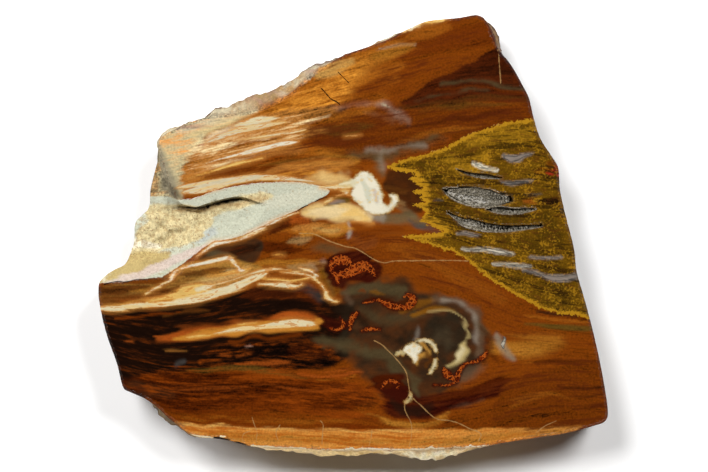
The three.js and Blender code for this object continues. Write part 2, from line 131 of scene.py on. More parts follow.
# Grain: lines of the wood's fibre across the face, in pixels
GRAIN_LINES = [
    [(262, 108), (300, 88), (345, 66), (400, 46), (450, 30), (500, 16)],
    [(262, 116), (320, 100), (360, 86), (410, 68), (460, 52), (500, 40)],
    [(340, 112), (407, 99), (440, 84), (480, 77), (522, 76)],
    [(250, 132), (300, 124), (350, 113), (420, 104), (480, 98), (532, 100)],
    [(205, 150), (250, 139), (300, 130), (360, 122), (440, 115), (533, 112)],
    [(190, 168), (240, 154), (296, 140), (350, 134), (420, 128), (500, 121)],
    [(188, 183), (240, 172), (290, 160), (340, 152), (400, 145), (460, 136)],
    [(195, 190), (250, 181), (310, 174), (370, 170), (400, 176)],
    [(395, 165), (440, 163), (490, 152), (540, 149), (562, 156)],
    [(440, 173), (480, 173), (520, 176), (566, 181)],
    [(430, 190), (470, 197), (520, 205), (572, 207)],
    [(425, 208), (455, 216), (490, 226), (530, 227), (576, 228)],
    [(405, 237), (440, 238), (480, 247), (520, 256), (582, 259)],
    [(430, 246), (470, 257), (520, 270), (584, 284)],
    [(440, 253), (480, 275), (520, 298), (560, 313), (592, 320)],
    [(400, 264), (450, 285), (490, 306), (530, 322), (595, 330)],
    [(480, 324), (505, 332), (545, 338), (598, 342)],
    [(495, 354), (540, 350), (600, 356)],
    [(440, 392), (480, 386), (520, 374), (560, 367), (604, 368)],
    [(440, 412), (480, 402), (530, 390), (570, 386), (606, 388)],
    [(430, 424), (470, 415), (530, 406), (608, 408)],
    [(420, 438), (480, 432), (540, 424), (604, 420)],
    [(250, 446), (330, 452), (420, 454), (500, 446), (572, 432)],
    [(165, 420), (209, 426), (258, 428), (350, 429), (420, 430)],
    [(160, 400), (200, 407), (241, 406), (306, 410), (350, 415), (391, 420), (407, 425), (423, 423)],
    [(120, 378), (180, 389), (225, 387), (290, 388), (339, 392), (377, 404)],
    [(108, 350), (160, 366), (258, 369), (306, 375), (350, 377), (370, 373)],
    [(105, 335), (165, 352), (235, 362), (290, 361), (330, 362)],
    [(102, 322), (165, 339), (209, 331), (241, 326), (311, 324), (350, 330)],
    [(101, 308), (144, 304), (181, 300), (212, 294), (241, 284), (267, 272), (300, 268)],
    [(196, 268), (240, 262), (280, 256), (330, 250)],
    [(170, 262), (215, 252), (260, 236), (300, 224), (330, 218)],
    [(215, 215), (260, 208), (300, 205), (345, 205), (400, 206)],
]

# Colours of the stone, as they look in daylight
PALETTE = {
    "oak": "b5671a", "russet": "8a4209", "chestnut": "743206", "umber": "471b06",
    "soot": "1c0d06", "oxblood": "3c0f06", "olive": "6a4e1a", "olive_grey": "6b5a3c",
    "amber": "cf8a30", "honey": "b87624", "cream": "edddb2", "ivory": "f3ead0",
    "gold": "efc26c", "smoke": "4a3d2a", "haze": "a5998a", "lilac": "8a7d78",
    "slate": "4c4844", "ember": "b4561a", "tan": "bb9058", "peach": "c98238",
    "mustard": "704e0c", "moss": "463208", "moss_dark": "2c1c06", "ochre": "c08c1e",
    "red": "a8301a", "brown": "5e3410", "walnut": "3a2010", "clay": "c9cab3",
    "pale_clay": "d9d6bd", "blue_clay": "b4bcc0", "sand": "dccb9a", "murk": "2e2418",
    "night": "24170d", "mire": "53452b", "mist": "6e553f", "mahogany": "521d02",
    "cinnabar": "842e08", "apricot": "ee9f45", "glow": "f4cf86", "straw": "c4ac70",
    "fawn": "c08a3c", "bronze": "8a560f", "glass_lilac": "8a7d72", "glass_white": "bfb5a2",
    "sand_shade": "b08d58", "blush": "d6c2b4", "bone": "e2d2ad", "rose": "b98e78",
    "stone_grey": "8f8672",
}

# The soft colour fields of the face, in the order that they are painted.
# Each has a name, a colour, how soft its edge is and how strongly it covers. Two numbers to a point make a
# closed patch and three make a band, with half its width there.
FIELDS = [
    ("oak field", "oak", 7, 1.0, [(185, 190), (190, 160), (262, 104), (300, 84), (345, 58), (400, 42),
        (404, 70), (380, 104), (352, 122), (300, 136), (240, 160)]),
    ("upper brown", "russet", 24, 0.9, [(404, 44), (440, 26), (500, 10), (504, 44), (470, 64), (446, 76),
        (407, 98), (376, 112), (380, 90), (396, 68)]),
    ("upper chestnut", "chestnut", 7, 0.8, [(425, 46, 9), (460, 38, 12), (490, 34, 10)]),
    ("shade under the ledge", "russet", 14, 0.75, [(346, 112, 5), (366, 92, 8), (388, 70, 8)]),
    ("shade by the ledge", "chestnut", 12, 0.4, [(395, 90, 4), (404, 72, 5), (412, 56, 4)]),
    ("bright flecks", "amber", 12, 0.25, [(345, 84, 5), (366, 68, 6), (384, 54, 4)]),
    ("pale streak at the top", "bone", 2, 0.5, [(378, 48, 0.6), (395, 45, 1.2), (418, 44, 0.6)]),
    ("dark wedge", "umber", 1.2, 1.0, [(500, 46), (470, 62), (446, 75), (425, 86), (404, 99), (410, 106),
        (450, 103), (500, 98), (530, 100), (524, 82), (512, 62)]),
    ("wedge's dark heart", "soot", 6, 0.45, [(448, 84, 3), (480, 72, 5), (508, 74, 6)]),
    ("olive streak in the wedge", "mire", 3, 0.9, [(441, 82, 0.8), (470, 82.5, 1.8), (500, 84.5, 2.2),
        (524, 86, 1.2)]),
    ("red under the olive streak", "chestnut", 2, 0.7, [(434, 88, 1.5), (480, 88, 1.6), (528, 92, 2)]),
    ("lower olive streak", "mire", 3, 0.7, [(416, 99.5, 0.8), (432, 96, 1.6), (456, 92.5, 1.8),
        (488, 92, 1)]),
    ("umber band", "brown", 3, 0.9, [(404, 107, 2), (450, 102, 3), (500, 99, 4), (531, 101, 3)]),
    ("olive brown band", "olive", 3, 0.6, [(418, 112, 2), (460, 108, 3), (500, 107, 3), (532, 108, 2)]),
    ("middle field", "russet", 6, 1.0, [(350, 128), (400, 112), (460, 110), (533, 106), (534, 118),
        (488, 130), (446, 146), (400, 158), (350, 168), (300, 176), (292, 160), (300, 132)]),
    ("dark streak across", "umber", 2.4, 0.75, [(398, 129, 1.4), (440, 121, 2.2), (470, 118, 2.6),
        (507, 113, 1.6)]),
    ("bright streak across", "oak", 2.4, 0.6, [(396, 141, 1.4), (430, 134, 3), (462, 129, 2),
        (482, 126, 1)]),
    ("ember over the tip", "ember", 3, 0.35, [(404, 152, 1.5), (430, 144, 2.5), (452, 138, 2)]),
    ("purple brown patch", "walnut", 4, 0.6, [(318, 115, 2), (332, 112, 3.4), (346, 108, 1.6)]),
    ("haze by the patch", "lilac", 4, 0.35, [(318, 108, 2), (345, 106, 3), (372, 100, 2)]),
    ("red brown below it", "russet", 4, 0.7, [(300, 124, 2), (340, 122, 4), (380, 116, 3)]),
    ("first haze", "haze", 5, 0.7, [(380, 102, 1.5), (386, 104, 3), (391, 106, 1.5)]),
    ("first haze's heart", "bone", 2, 0.6, [(383, 103, 0.8), (388, 105, 1.2)]),
    ("second haze", "haze", 7, 0.45, [(392, 108, 3), (400, 114, 5), (407, 119, 3)]),
    ("haze's tail", "mist", 6, 0.4, [(366, 112, 1), (388, 117, 3), (404, 120, 2)]),
    ("olive under the gold", "olive", 3, 0.75, [(304, 133, 2), (330, 131, 5), (352, 130, 5),
        (372, 126, 2)]),
    ("red streak", "chestnut", 3, 0.4, [(293, 147, 2), (330, 143, 4), (376, 140, 4), (400, 138, 2)]),
    ("oak under it", "oak", 4, 0.6, [(292, 152, 1.5), (310, 150, 3), (332, 149, 2.4), (346, 149, 1)]),
    ("olive band to the left", "olive", 4, 0.5, [(228, 172, 2), (262, 166, 4), (300, 160, 5),
        (350, 156, 4)]),
    ("grey lens", "mire", 6, 0.9, [(350, 154, 3), (376, 154, 7), (400, 150, 7), (420, 145, 5),
        (440, 139, 2)]),
    ("grey lens's heart", "haze", 5, 0.45, [(366, 150, 2), (380, 149, 3), (398, 148, 2), (424, 146, 1.5)]),
    ("amber to the left of the lens", "honey", 5, 0.6, [(318, 152, 2), (340, 156, 4), (356, 160, 4)]),
    ("dark streak above the gold", "chestnut", 2, 0.9, [(252, 178, 0.6), (272, 174, 1.6), (290, 172.5, 2.6),
        (308, 173, 2.2), (316, 174, 1)]),
    ("olive glow", "honey", 5, 0.8, [(300, 164, 3), (330, 164, 4), (352, 168, 4)]),
    ("light grey patch", "olive_grey", 5, 0.7, [(384, 150, 2), (380, 158, 5), (378, 166, 5),
        (381, 175, 3)]),
    ("light in the grey patch", "haze", 5, 0.4, [(382, 150, 1), (380, 160, 3), (381, 170, 2)]),
    ("dark beside the zigzag", "night", 3, 0.95, [(384, 171), (392, 170), (416, 172), (424, 190),
        (424, 206), (414, 210), (402, 206), (390, 196)]),
    ("brown in the dark", "brown", 3.5, 0.8, [(388, 186, 1.6), (398, 190, 3), (408, 192, 1.6)]),
    ("warm edge in the dark", "tan", 4, 0.35, [(392, 200, 2), (402, 203, 3)]),
    ("grey blue", "olive_grey", 4, 0.95, [(372, 219, 3), (386, 221, 5), (400, 220, 6), (414, 218, 6),
        (424, 222, 5)]),
    ("grey by the opal", "olive_grey", 3, 0.8, [(398, 206, 2), (408, 210, 4), (416, 214, 3)]),
    ("blue corner", "slate", 3, 0.8, [(410, 220, 1.5), (420, 224, 4), (432, 229, 2.6), (441, 231, 0.8)]),
    ("gold glow", "glow", 5, 1.0, [(306, 214, 3), (318, 213, 7), (332, 212, 9), (346, 212, 10),
        (358, 216, 8), (366, 219, 4)]),
    ("gold glow's light", "cream", 5, 0.45, [(312, 214, 2), (324, 214, 5), (336, 212, 5), (346, 207, 4)]),
    ("amber in the glow", "gold", 5, 0.6, [(344, 203, 3), (352, 212, 5), (362, 219, 4)]),
    ("pale side of the glow", "haze", 4, 0.5, [(366, 214, 2), (374, 219, 3), (384, 221, 3)]),
    ("brown lens", "olive", 2, 0.9, [(323, 207, 0.8), (330, 204, 3), (340, 201, 3), (348, 198, 1)]),
    ("brown lens's heart", "lilac", 1.6, 0.85, [(332, 205, 1), (338, 203, 2), (344, 201, 1.2)]),
    ("fringe under the glow", "peach", 3, 0.9, [(318, 227, 2), (332, 226.5, 3), (348, 225, 3),
        (362, 225, 3), (374, 224, 1.5)]),
    ("rust field", "russet", 5, 1.0, [(350, 228), (384, 228), (412, 236), (440, 248), (470, 264),
        (500, 286), (530, 303), (520, 320), (480, 322), (450, 304), (424, 298), (396, 284), (372, 262),
        (344, 250)]),
    ("rust's dark start", "chestnut", 5, 0.7, [(356, 236, 4), (380, 232, 4), (404, 230, 2.5)]),
    ("lilac in the rust", "mist", 6, 0.15, [(352, 240, 3), (366, 246, 5), (374, 240, 3)]),
    ("oak in the rust", "oak", 10, 0.3, [(400, 248, 5), (430, 262, 7), (462, 280, 8), (500, 300, 7)]),
    ("grey white spot", "haze", 2, 0.9, [(350, 225.5, 0.8), (349.5, 230, 1.6), (347, 235, 1.4),
        (346, 239, 0.5)]),
    ("orange left of the glow", "ember", 4, 0.85, [(285, 222, 3), (298, 219, 4), (310, 222, 3)]),
    ("dark above the band", "umber", 3, 0.85, [(262, 237, 2), (276, 229, 4), (290, 224, 2)]),
    ("oak band", "oak", 3, 0.9, [(262, 240, 2), (286, 232, 3), (312, 231, 3.4), (332, 233, 2)]),
    ("centre left field", "russet", 4, 1.0, [(240, 258), (252, 242), (280, 232), (302, 236), (330, 242),
        (350, 250), (338, 262), (300, 262), (262, 262)]),
    ("green glow", "tan", 5, 0.8, [(293, 240, 3), (301, 240, 4), (308, 238, 2)]),
    ("grey green glow", "mire", 6, 0.8, [(312, 248, 3), (326, 248, 5), (342, 250, 4)]),
    ("dark under the clay", "mahogany", 4, 0.85, [(252, 242, 3), (268, 248, 7), (284, 250, 7),
        (296, 252, 3)]),
    ("rust streak in the middle", "russet", 2.5, 0.9, [(258, 256, 2), (284, 256, 3), (308, 256, 3),
        (328, 255, 1)]),
    ("olive gold band", "honey", 3, 0.9, [(240, 268, 2), (262, 263, 3), (290, 263, 3.4), (318, 264, 3)]),
    ("grey white glow", "haze", 5, 0.7, [(300, 268, 2), (312, 267, 3.5), (322, 264, 3)]),
    ("translucent tongue", "bronze", 4, 0.85, [(318, 264), (334, 266), (338, 280), (338, 290), (330, 298),
        (326, 292), (320, 280)]),
    ("tongue's grey", "mire", 5, 0.6, [(324, 270, 3), (330, 280, 4), (334, 292, 3)]),
    ("horn's dark bed", "murk", 2.5, 0.95, [(196, 262), (212, 246), (226, 243), (242, 240), (256, 235),
        (262, 246), (252, 262), (240, 262), (232, 256), (214, 260)]),
    ("horn's black", "soot", 4, 0.8, [(228, 252, 2.5), (242, 248, 5), (254, 246, 4)]),
    ("horn's grey light", "olive_grey", 3, 0.6, [(204, 256, 1.6), (218, 252, 2.4), (230, 254, 1.4)]),
    ("left amber field", "fawn", 3, 1.0, [(100, 288), (140, 284), (162, 284), (186, 268), (232, 258),
        (246, 262), (262, 270), (230, 290), (190, 298), (140, 302), (100, 306)]),
    ("bright amber", "gold", 3, 0.7, [(172, 292, 1), (186, 286, 3.4), (204, 279, 2.6), (224, 275, 3),
        (244, 270, 2.6)]),
    ("left brown", "mahogany", 3, 0.9, [(98, 292, 4), (118, 291, 5), (134, 289, 4), (146, 287, 1.6)]),
    ("left brown below", "chestnut", 2.5, 0.8, [(100, 301, 2.6), (124, 299, 2.8), (140, 298, 2)]),
    ("amber fleck at left", "amber", 1.6, 0.7, [(130, 292, 0.8), (140, 291, 1.8), (149, 289, 0.8)]),
    ("amber wedge", "peach", 3, 0.9, [(146, 300, 2), (166, 295, 5), (186, 291, 5), (202, 288, 3)]),
    ("dark line in the wedge", "mahogany", 1.6, 0.95, [(142, 297, 1.2), (154, 293, 2.6), (165, 289, 2.2),
        (178, 286, 1.2)]),
    ("dark lines in the amber", "brown", 1.6, 0.8, [(184, 278, 1.2), (204, 273, 2.6), (222, 268, 2.2),
        (234, 267, 1)]),
    ("olive lens at left", "olive", 2, 0.7, [(198, 282, 1), (212, 280, 1.8), (228, 275, 1.4)]),
    ("ember line", "ember", 1.6, 0.7, [(200, 284, 0.8), (222, 279, 1.4), (240, 273, 1.2)]),
    ("light in the amber", "glow", 1.6, 0.8, [(220, 269, 0.8), (228, 267.5, 2), (235, 266, 0.8)]),
    ("amber by the light", "honey", 2, 0.7, [(206, 273, 1), (216, 271, 1.8), (224, 269, 1)]),
    ("pale end of the amber", "sand_shade", 4, 0.7, [(290, 268, 2), (302, 269, 4), (314, 268, 2)]),
    ("black zone", "soot", 4.5, 1.0, [(98, 313), (150, 308), (200, 302), (240, 292), (262, 284), (300, 286),
        (322, 290), (330, 300), (352, 306), (352, 330), (340, 344), (350, 352), (330, 366), (262, 370),
        (200, 372), (150, 400), (110, 384)]),
    ("brown in the black", "umber", 5, 0.75, [(250, 296, 4), (280, 294, 6), (306, 296, 6), (318, 304, 4)]),
    ("slate in the black", "slate", 5, 0.45, [(298, 290, 3), (312, 292, 5), (322, 300, 5)]),
    ("swirl in the black", "brown", 2.5, 0.75, [(168, 316, 1), (182, 312, 1.6), (194, 311, 2.6),
        (206, 311, 1)]),
    ("thin red line", "chestnut", 1.4, 0.8, [(120, 318, 0.6), (150, 316, 1.2), (178, 312, 0.8)]),
    ("flame's glow", "ember", 5, 0.85, [(162, 338, 2), (180, 334, 6), (206, 333, 6), (240, 328, 6),
        (276, 323, 7), (306, 321, 8), (316, 322, 6)]),
    ("flame's amber", "amber", 3, 0.95, [(176, 338, 1), (200, 335, 4), (240, 329, 5), (280, 325, 6.5),
        (316, 323, 6)]),
    ("flame's red top", "ember", 2.4, 0.8, [(258, 322, 1), (276, 317, 3), (296, 316, 3.2), (312, 318, 2)]),
    ("flame's dark cut", "chestnut", 1.6, 0.7, [(246, 324, 0.6), (262, 320, 1.6), (280, 320.5, 1)]),
    ("shade under the flame", "chestnut", 3, 0.8, [(226, 341, 1.5), (262, 337, 2.4), (300, 334, 2)]),
    ("peach streak", "peach", 3, 0.6, [(164, 351.6, 0.4), (174, 351.8, 1), (185, 352.2, 0.4)]),
    ("orange dot", "ember", 3, 0.6, [(126, 342.5, 0.5), (133, 342.5, 0.8)]),
    ("blue grey dot", "slate", 3, 0.7, [(177, 364, 1.4), (183, 363.5, 1.8)]),
    ("red spot", "ember", 3, 0.6, [(219, 356, 0.6), (225, 356, 1.2), (231, 356, 0.6)]),
    ("second red spot", "ember", 3, 0.5, [(238, 355.6, 0.6), (246, 355, 1), (252, 355.6, 0.5)]),
    ("pink fleck", "rose", 1.6, 0.7, [(247, 347.5, 0.7), (254, 347.4, 0.9)]),
    ("orange swath", "ember", 2.6, 0.75, [(234, 365, 1), (256, 364, 2), (274, 361.5, 3.2),
        (288, 361, 1.4)]),
    ("brown right of the swath", "umber", 5, 0.7, [(292, 352, 4), (312, 350, 7), (332, 348, 6)]),
    ("olive streak", "olive", 3, 0.8, [(186, 372, 1), (216, 369, 2.6), (256, 370, 3), (292, 374, 2),
        (310, 378, 1)]),
    ("grey at the eye's left", "mire", 6, 0.7, [(318, 338, 2), (334, 340, 3), (350, 344, 4)]),
    ("orange streak", "chestnut", 1.8, 0.7, [(283, 371.5, 0.8), (306, 374, 1.6), (330, 376, 2.4),
        (352, 374.5, 2.2), (369, 372, 1)]),
    ("red streak under it", "chestnut", 2, 0.8, [(300, 379, 1), (330, 381, 1.6), (356, 378, 1.2)]),
    ("wires under the eye", "ember", 1.4, 0.9, [(300, 372, 0.4), (318, 374.5, 0.8), (340, 375.5, 1.4),
        (356, 373.5, 1.2), (367, 371.5, 0.5)]),
    ("second wire", "oak", 1.4, 0.8, [(322, 378.5, 0.4), (340, 379.5, 0.9), (358, 376.5, 0.7)]),
    ("third wire", "ember", 1.4, 0.7, [(310, 369, 0.3), (330, 370.5, 0.7), (352, 369.5, 0.5)]),
    ("lower left brown", "mahogany", 6, 0.95, [(130, 380), (200, 372), (280, 378), (350, 384), (372, 394),
        (350, 412), (280, 418), (190, 416), (150, 402)]),
    ("reddish middle", "umber", 5, 0.7, [(150, 388, 3), (190, 386, 6), (240, 388, 3)]),
    ("dark at the lower left", "umber", 6, 0.8, [(118, 382, 5), (150, 389, 7), (184, 388, 5)]),
    ("dark left of the knot", "umber", 5, 0.7, [(326, 388, 3), (352, 392, 6), (374, 402, 5)]),
    ("orange wisps", "ember", 1.6, 0.45, [(176, 388, 0.6), (214, 387, 1.2), (260, 385, 0.8),
        (300, 388, 1.2), (330, 391, 0.6)]),
    ("golden brown", "russet", 6, 0.9, [(176, 418), (210, 412), (260, 412), (310, 413), (352, 410),
        (386, 416), (398, 424), (420, 428), (440, 420), (480, 408), (520, 402), (560, 406), (520, 428),
        (440, 431), (340, 430), (250, 428), (185, 427)]),
    ("gold under the knot", "honey", 4, 0.6, [(376, 418, 2), (400, 425, 3), (424, 426, 3), (446, 418, 2)]),
    ("orange above the band", "oak", 3, 0.5, [(186, 419, 1.5), (230, 418, 2), (290, 420, 2),
        (350, 420, 2)]),
    ("brown line in the gold", "chestnut", 2.4, 0.7, [(186, 414, 1), (240, 408, 2.4), (300, 410, 2),
        (350, 416, 2.4), (392, 424, 1)]),
    ("fold under the knot", "amber", 1.8, 0.6, [(356, 412, 0.8), (380, 417, 1.4), (398, 424, 1.8),
        (420, 425, 1.6), (436, 419, 1.2), (452, 413, 0.6)]),
    ("peach band", "apricot", 1.6, 1.0, [(168, 426), (209, 424), (258, 427), (306, 428), (350, 428),
        (420, 429), (480, 428.5), (540, 428), (582, 427), (575, 434), (500, 447), (420, 456), (330, 456),
        (250, 450), (195, 440)]),
    ("peach band's light edge", "gold", 1.6, 0.6, [(160, 427.5, 0.8), (200, 426, 1.4), (280, 428.8, 1.4),
        (350, 430, 1.2), (420, 431, 1)]),
    ("peach band's orange", "honey", 3, 0.6, [(210, 434, 2), (280, 438, 4), (350, 440, 3), (420, 442, 3),
        (490, 438, 3), (560, 431, 1.5)]),
    ("orange at the corner", "apricot", 3, 0.5, [(556, 428, 2), (572, 425, 3), (584, 422, 2)]),
    ("eye's surround", "murk", 7, 1.0, [(342, 282), (372, 277), (404, 280), (424, 294), (452, 299),
        (476, 311), (488, 332), (484, 356), (470, 374), (446, 392), (412, 402), (386, 398), (368, 380),
        (352, 362), (334, 346), (344, 326), (342, 306)]),
    ("eye's dark left", "night", 6, 0.9, [(340, 304, 5), (352, 316, 6), (368, 322, 4)]),
    ("grey green above", "mire", 4, 1.0, [(344, 290, 3), (362, 286, 5.5), (384, 287, 6), (402, 293, 4)]),
    ("rust in the grey green", "chestnut", 3, 0.7, [(354, 290, 1), (360, 289, 2.2), (365, 291, 1)]),
    ("bronze in the grey green", "bronze", 3, 0.6, [(371, 291, 1), (377, 291, 2), (383, 293, 1)]),
    ("light at its left", "mist", 4, 0.5, [(345, 287, 1.5), (348, 296, 2), (353, 302, 1.5)]),
    ("glass under the long curl", "mire", 5, 0.55, [(362, 311, 2), (380, 318, 5), (402, 320, 6),
        (420, 316, 4)]),
    ("bronze above the ring", "bronze", 5, 0.6, [(408, 310, 2), (420, 304, 3), (434, 301, 2)]),
    ("glass at the eye's left", "mire", 6, 0.9, [(326, 343, 3), (346, 346, 5), (366, 350, 5), (386, 356, 6),
        (396, 366, 6), (398, 374, 4)]),
    ("dark beside the blob", "night", 5, 0.6, [(382, 334, 3), (398, 338, 4), (404, 330, 3)]),
    ("lilac arc", "mist", 5, 0.8, [(436, 302, 2), (448, 301, 3.4), (460, 304, 4), (471, 312, 4.4),
        (478, 325, 5), (481, 341, 5), (478, 353, 4)]),
    ("arc's light", "haze", 4, 0.5, [(444, 302, 1), (460, 305, 2), (472, 315, 2), (477, 330, 2.6),
        (477, 342, 2)]),
    ("olive in the arc", "bronze", 3, 0.8, [(418, 316, 1.5), (428, 311, 2.2), (442, 309.5, 2),
        (454, 313, 1.6)]),
    ("eye's core", "murk", 6, 0.95, [(420, 336), (426, 321), (442, 314), (458, 319), (465, 334), (460, 350),
        (446, 358), (432, 352)]),
    ("brown in the core", "smoke", 6, 0.6, [(436, 340, 4), (446, 332, 5), (448, 346, 4)]),
    ("straw ring", "straw", 2.5, 0.6, [(430, 312, 0.4), (442, 311, 0.8), (452, 313, 1), (460, 319, 1.2),
        (466, 328, 1.3), (467, 338, 2)]),
    ("pale patch in the eye", "straw", 5, 0.95, [(466, 344, 2), (464, 351, 4.6), (459, 358, 4.4),
        (453, 363, 2), (448, 366, 1)]),
    ("pale patch's light", "cream", 4, 0.6, [(464, 348, 1.2), (460, 354, 2.8), (456, 360, 1.4)]),
    ("spike over the blob", "haze", 3, 0.4, [(415, 329, 0.5), (415.5, 334, 1.1), (414, 340, 1.6)]),
    ("brown of the ring", "fawn", 2.4, 0.9, [(422, 344, 1), (427, 348, 2), (427, 354, 2.2), (420, 359, 1.8),
        (416, 364, 1)]),
    ("shade in the ring", "brown", 2, 0.8, [(426, 352, 1), (428, 358, 2), (425, 366, 2)]),
    ("grey green under the blob", "mire", 4, 0.8, [(406, 374, 3), (418, 380, 4), (414, 392, 3)]),
    ("knot", "oxblood", 4, 1.0, [(372, 384), (384, 376), (402, 376), (408, 390), (420, 396), (440, 392),
        (470, 388), (520, 370), (540, 374), (530, 388), (480, 402), (446, 412), (428, 419), (402, 419),
        (390, 412), (380, 400)]),
    ("knot's black", "night", 4, 0.8, [(392, 402, 3), (404, 410, 6), (418, 412, 5), (430, 408, 3)]),
    ("grey green between", "mire", 3, 0.75, [(411, 378, 2), (416, 388, 3), (418, 396, 2)]),
    ("maroon streaks", "mahogany", 3, 0.8, [(436, 400, 2), (470, 392, 4), (504, 380, 4), (536, 374, 2)]),
    ("lilac under the eye", "mist", 7, 0.6, [(456, 382, 3), (466, 376, 5), (480, 369, 3)]),
    ("lilac wisp", "mist", 3, 0.3, [(448, 408, 0.8), (466, 405, 1.6), (482, 402, 0.8)]),
    ("right base", "russet", 6, 1.0, [(492, 310), (530, 306), (592, 322), (604, 366), (500, 376),
        (490, 356), (492, 334)]),
    ("grey in the right base", "mire", 5, 0.6, [(476, 326, 3), (488, 334, 4), (494, 344, 3)]),
    ("right golden field", "honey", 12, 0.75, [(498, 346, 3), (514, 347, 9), (532, 346, 11), (548, 343, 8),
        (564, 340, 4)]),
    ("brown at the right edge", "russet", 8, 0.8, [(566, 338, 5), (582, 342, 9), (600, 344, 10)]),
    ("brown between", "umber", 5, 0.5, [(482, 330, 3), (490, 344, 4), (494, 360, 3)]),
    ("right brown above", "russet", 4, 0.7, [(486, 312, 4), (510, 318, 5), (530, 322, 3)]),
    ("dark line under the ochre", "walnut", 1.4, 0.9, [(540, 311.5, 0.8), (556, 313.5, 1.6),
        (576, 315.5, 1)]),
    ("orange lines", "oak", 2, 0.7, [(526, 316, 1), (550, 319, 1.6), (588, 321, 1.2)]),
    ("olive grey band", "olive", 2.6, 0.95, [(524, 324, 1), (544, 326, 2.6), (570, 327, 3.2),
        (592, 327, 2.6)]),
    ("right glow", "amber", 7, 0.4, [(502, 346, 2), (520, 350, 4), (538, 352, 3)]),
    ("dark streak at right", "umber", 2.4, 0.75, [(538, 363, 1), (560, 361, 2), (602, 362, 1.6)]),
    ("right rust field", "russet", 5, 1.0, [(500, 392), (530, 374), (560, 366), (604, 366), (608, 410),
        (604, 422), (540, 424), (500, 420), (494, 406)]),
    ("dark line one", "soot", 1.4, 0.75, [(556, 387, 0.6), (574, 386.5, 1.6), (605, 388, 1.4)]),
    ("dark line two", "soot", 1.2, 0.6, [(560, 396, 0.5), (580, 395, 1.1), (605, 395.5, 0.9)]),
    ("dark line three", "umber", 2, 0.7, [(574, 408, 0.8), (590, 406.5, 1.8), (607, 407, 1.4)]),
    ("dark line four", "umber", 2, 0.6, [(524, 411, 0.8), (546, 407, 1.6), (566, 406, 0.8)]),
    ("orange at lower right", "oak", 3, 0.6, [(506, 408, 1.6), (524, 400, 2.4), (548, 394, 2),
        (570, 398, 1)]),
    ("lilac spot's haze", "stone_grey", 4, 0.8, [(498, 336, 2), (501, 344, 4), (506, 352, 4),
        (512, 358, 2)]),
    ("rust oval", "mahogany", 4, 0.7, [(377, 386, 3), (384, 382, 6), (394, 381, 6), (402, 385, 3)]),
    ("specks bed", "oxblood", 4, 0.7, [(322, 318, 3), (334, 323, 5), (346, 326, 4)]),
    ("curls' bed", "oxblood", 4, 1.0, [(326, 268), (332, 257), (346, 252), (362, 250), (374, 258),
        (380, 272), (370, 282), (350, 280), (340, 288), (332, 282)]),
    ("upper curls' bed", "umber", 2, 0.8, [(364, 301, 1), (380, 300, 3), (398, 306, 4), (412, 302, 5)]),
    ("upper left gold", "peach", 6, 0.9, [(180, 184), (186, 158), (206, 140), (232, 126), (262, 114),
        (336, 108), (304, 124), (330, 130), (286, 146), (262, 158), (220, 166), (200, 178)]),
    ("dusk by the oval", "russet", 8, 0.75, [(346, 102, 4), (366, 92, 8), (392, 84, 6)]),
    ("light at the rim", "gold", 5, 0.55, [(316, 76, 3), (334, 69, 6), (354, 62, 3)]),
    ("honey at the rim", "honey", 5, 0.7, [(376, 56, 3), (394, 50, 6), (414, 44, 3)]),
    ("oak at the top", "oak", 5, 0.6, [(408, 36, 4), (430, 30, 7), (448, 26, 4)]),
    ("amber streak", "peach", 5, 0.6, [(268, 152, 2), (288, 149, 5), (302, 148, 3)]),
    ("honey streak", "oak", 5, 0.6, [(298, 148, 3), (314, 150, 5), (328, 150, 3)]),
    ("glow above the opal", "glow", 4, 0.7, [(304, 184, 2), (318, 183, 4), (334, 184, 5), (346, 190, 2)]),
    ("amber above the neck", "amber", 5, 0.6, [(306, 176, 3), (324, 175, 5), (342, 177, 3)]),
    ("glow under the glow", "amber", 4, 0.8, [(302, 232, 3), (320, 231, 5), (338, 230, 5), (352, 229, 2)]),
    ("glow in the amber", "glow", 4, 0.6, [(170, 296, 2), (200, 286, 4.4), (226, 275, 5), (246, 268, 2)]),
    ("deep amber", "chestnut", 2, 0.7, [(104, 297, 1), (122, 299, 3), (142, 297, 2), (158, 291, 1)]),
    ("light in the fringe", "peach", 1.5, 0.7, [(210, 243, 0.6), (232, 234, 1.4), (262, 224, 1.4),
        (288, 212, 1.6), (304, 204, 0.8)]),
    ("dark in the fringe", "mahogany", 2, 0.8, [(236, 240, 1), (256, 233, 2.4), (276, 224, 3),
        (292, 218, 1.6)]),
    ("black by the edge", "walnut", 5, 0.8, [(134, 384, 4), (152, 391, 6), (172, 393, 4)]),
    ("brown fibres in the gold", "russet", 2, 0.8, [(214, 150, 0.6), (240, 144, 1.6), (270, 138, 2),
        (300, 133, 1)]),
    ("second brown fibres", "russet", 2, 0.7, [(206, 164, 0.6), (232, 158.5, 1.4), (256, 154, 1.6),
        (276, 150, 0.8)]),
    ("brown under the gold", "chestnut", 3, 0.9, [(200, 178, 2), (222, 172, 4.6), (244, 170, 5),
        (262, 169, 5), (290, 169, 4.6), (330, 168, 2.4), (358, 168, 3)]),
    ("orange at the lobe's edge", "oak", 5, 0.7, [(188, 170, 3), (194, 156, 4), (206, 146, 3),
        (222, 138, 3)]),
    ("gold above the tip", "glow", 7, 0.8, [(308, 180, 2), (320, 177, 4), (336, 176, 5), (346, 180, 3)]),
    ("orange below the tip", "peach", 3, 0.9, [(298, 228, 2), (316, 229, 4.4), (330, 230, 4),
        (342, 229, 3)]),
    ("gold in the orange", "gold", 3, 0.5, [(314, 229, 1), (330, 231, 1.8), (340, 229, 1)]),
    ("honey above the smear", "peach", 6, 0.6, [(270, 170, 2), (290, 165, 5), (312, 162, 7), (332, 162, 6),
        (352, 162, 2)]),
    ("russet in the honey", "russet", 2, 0.7, [(282, 164, 0.6), (306, 160, 1.8), (336, 157, 1.4),
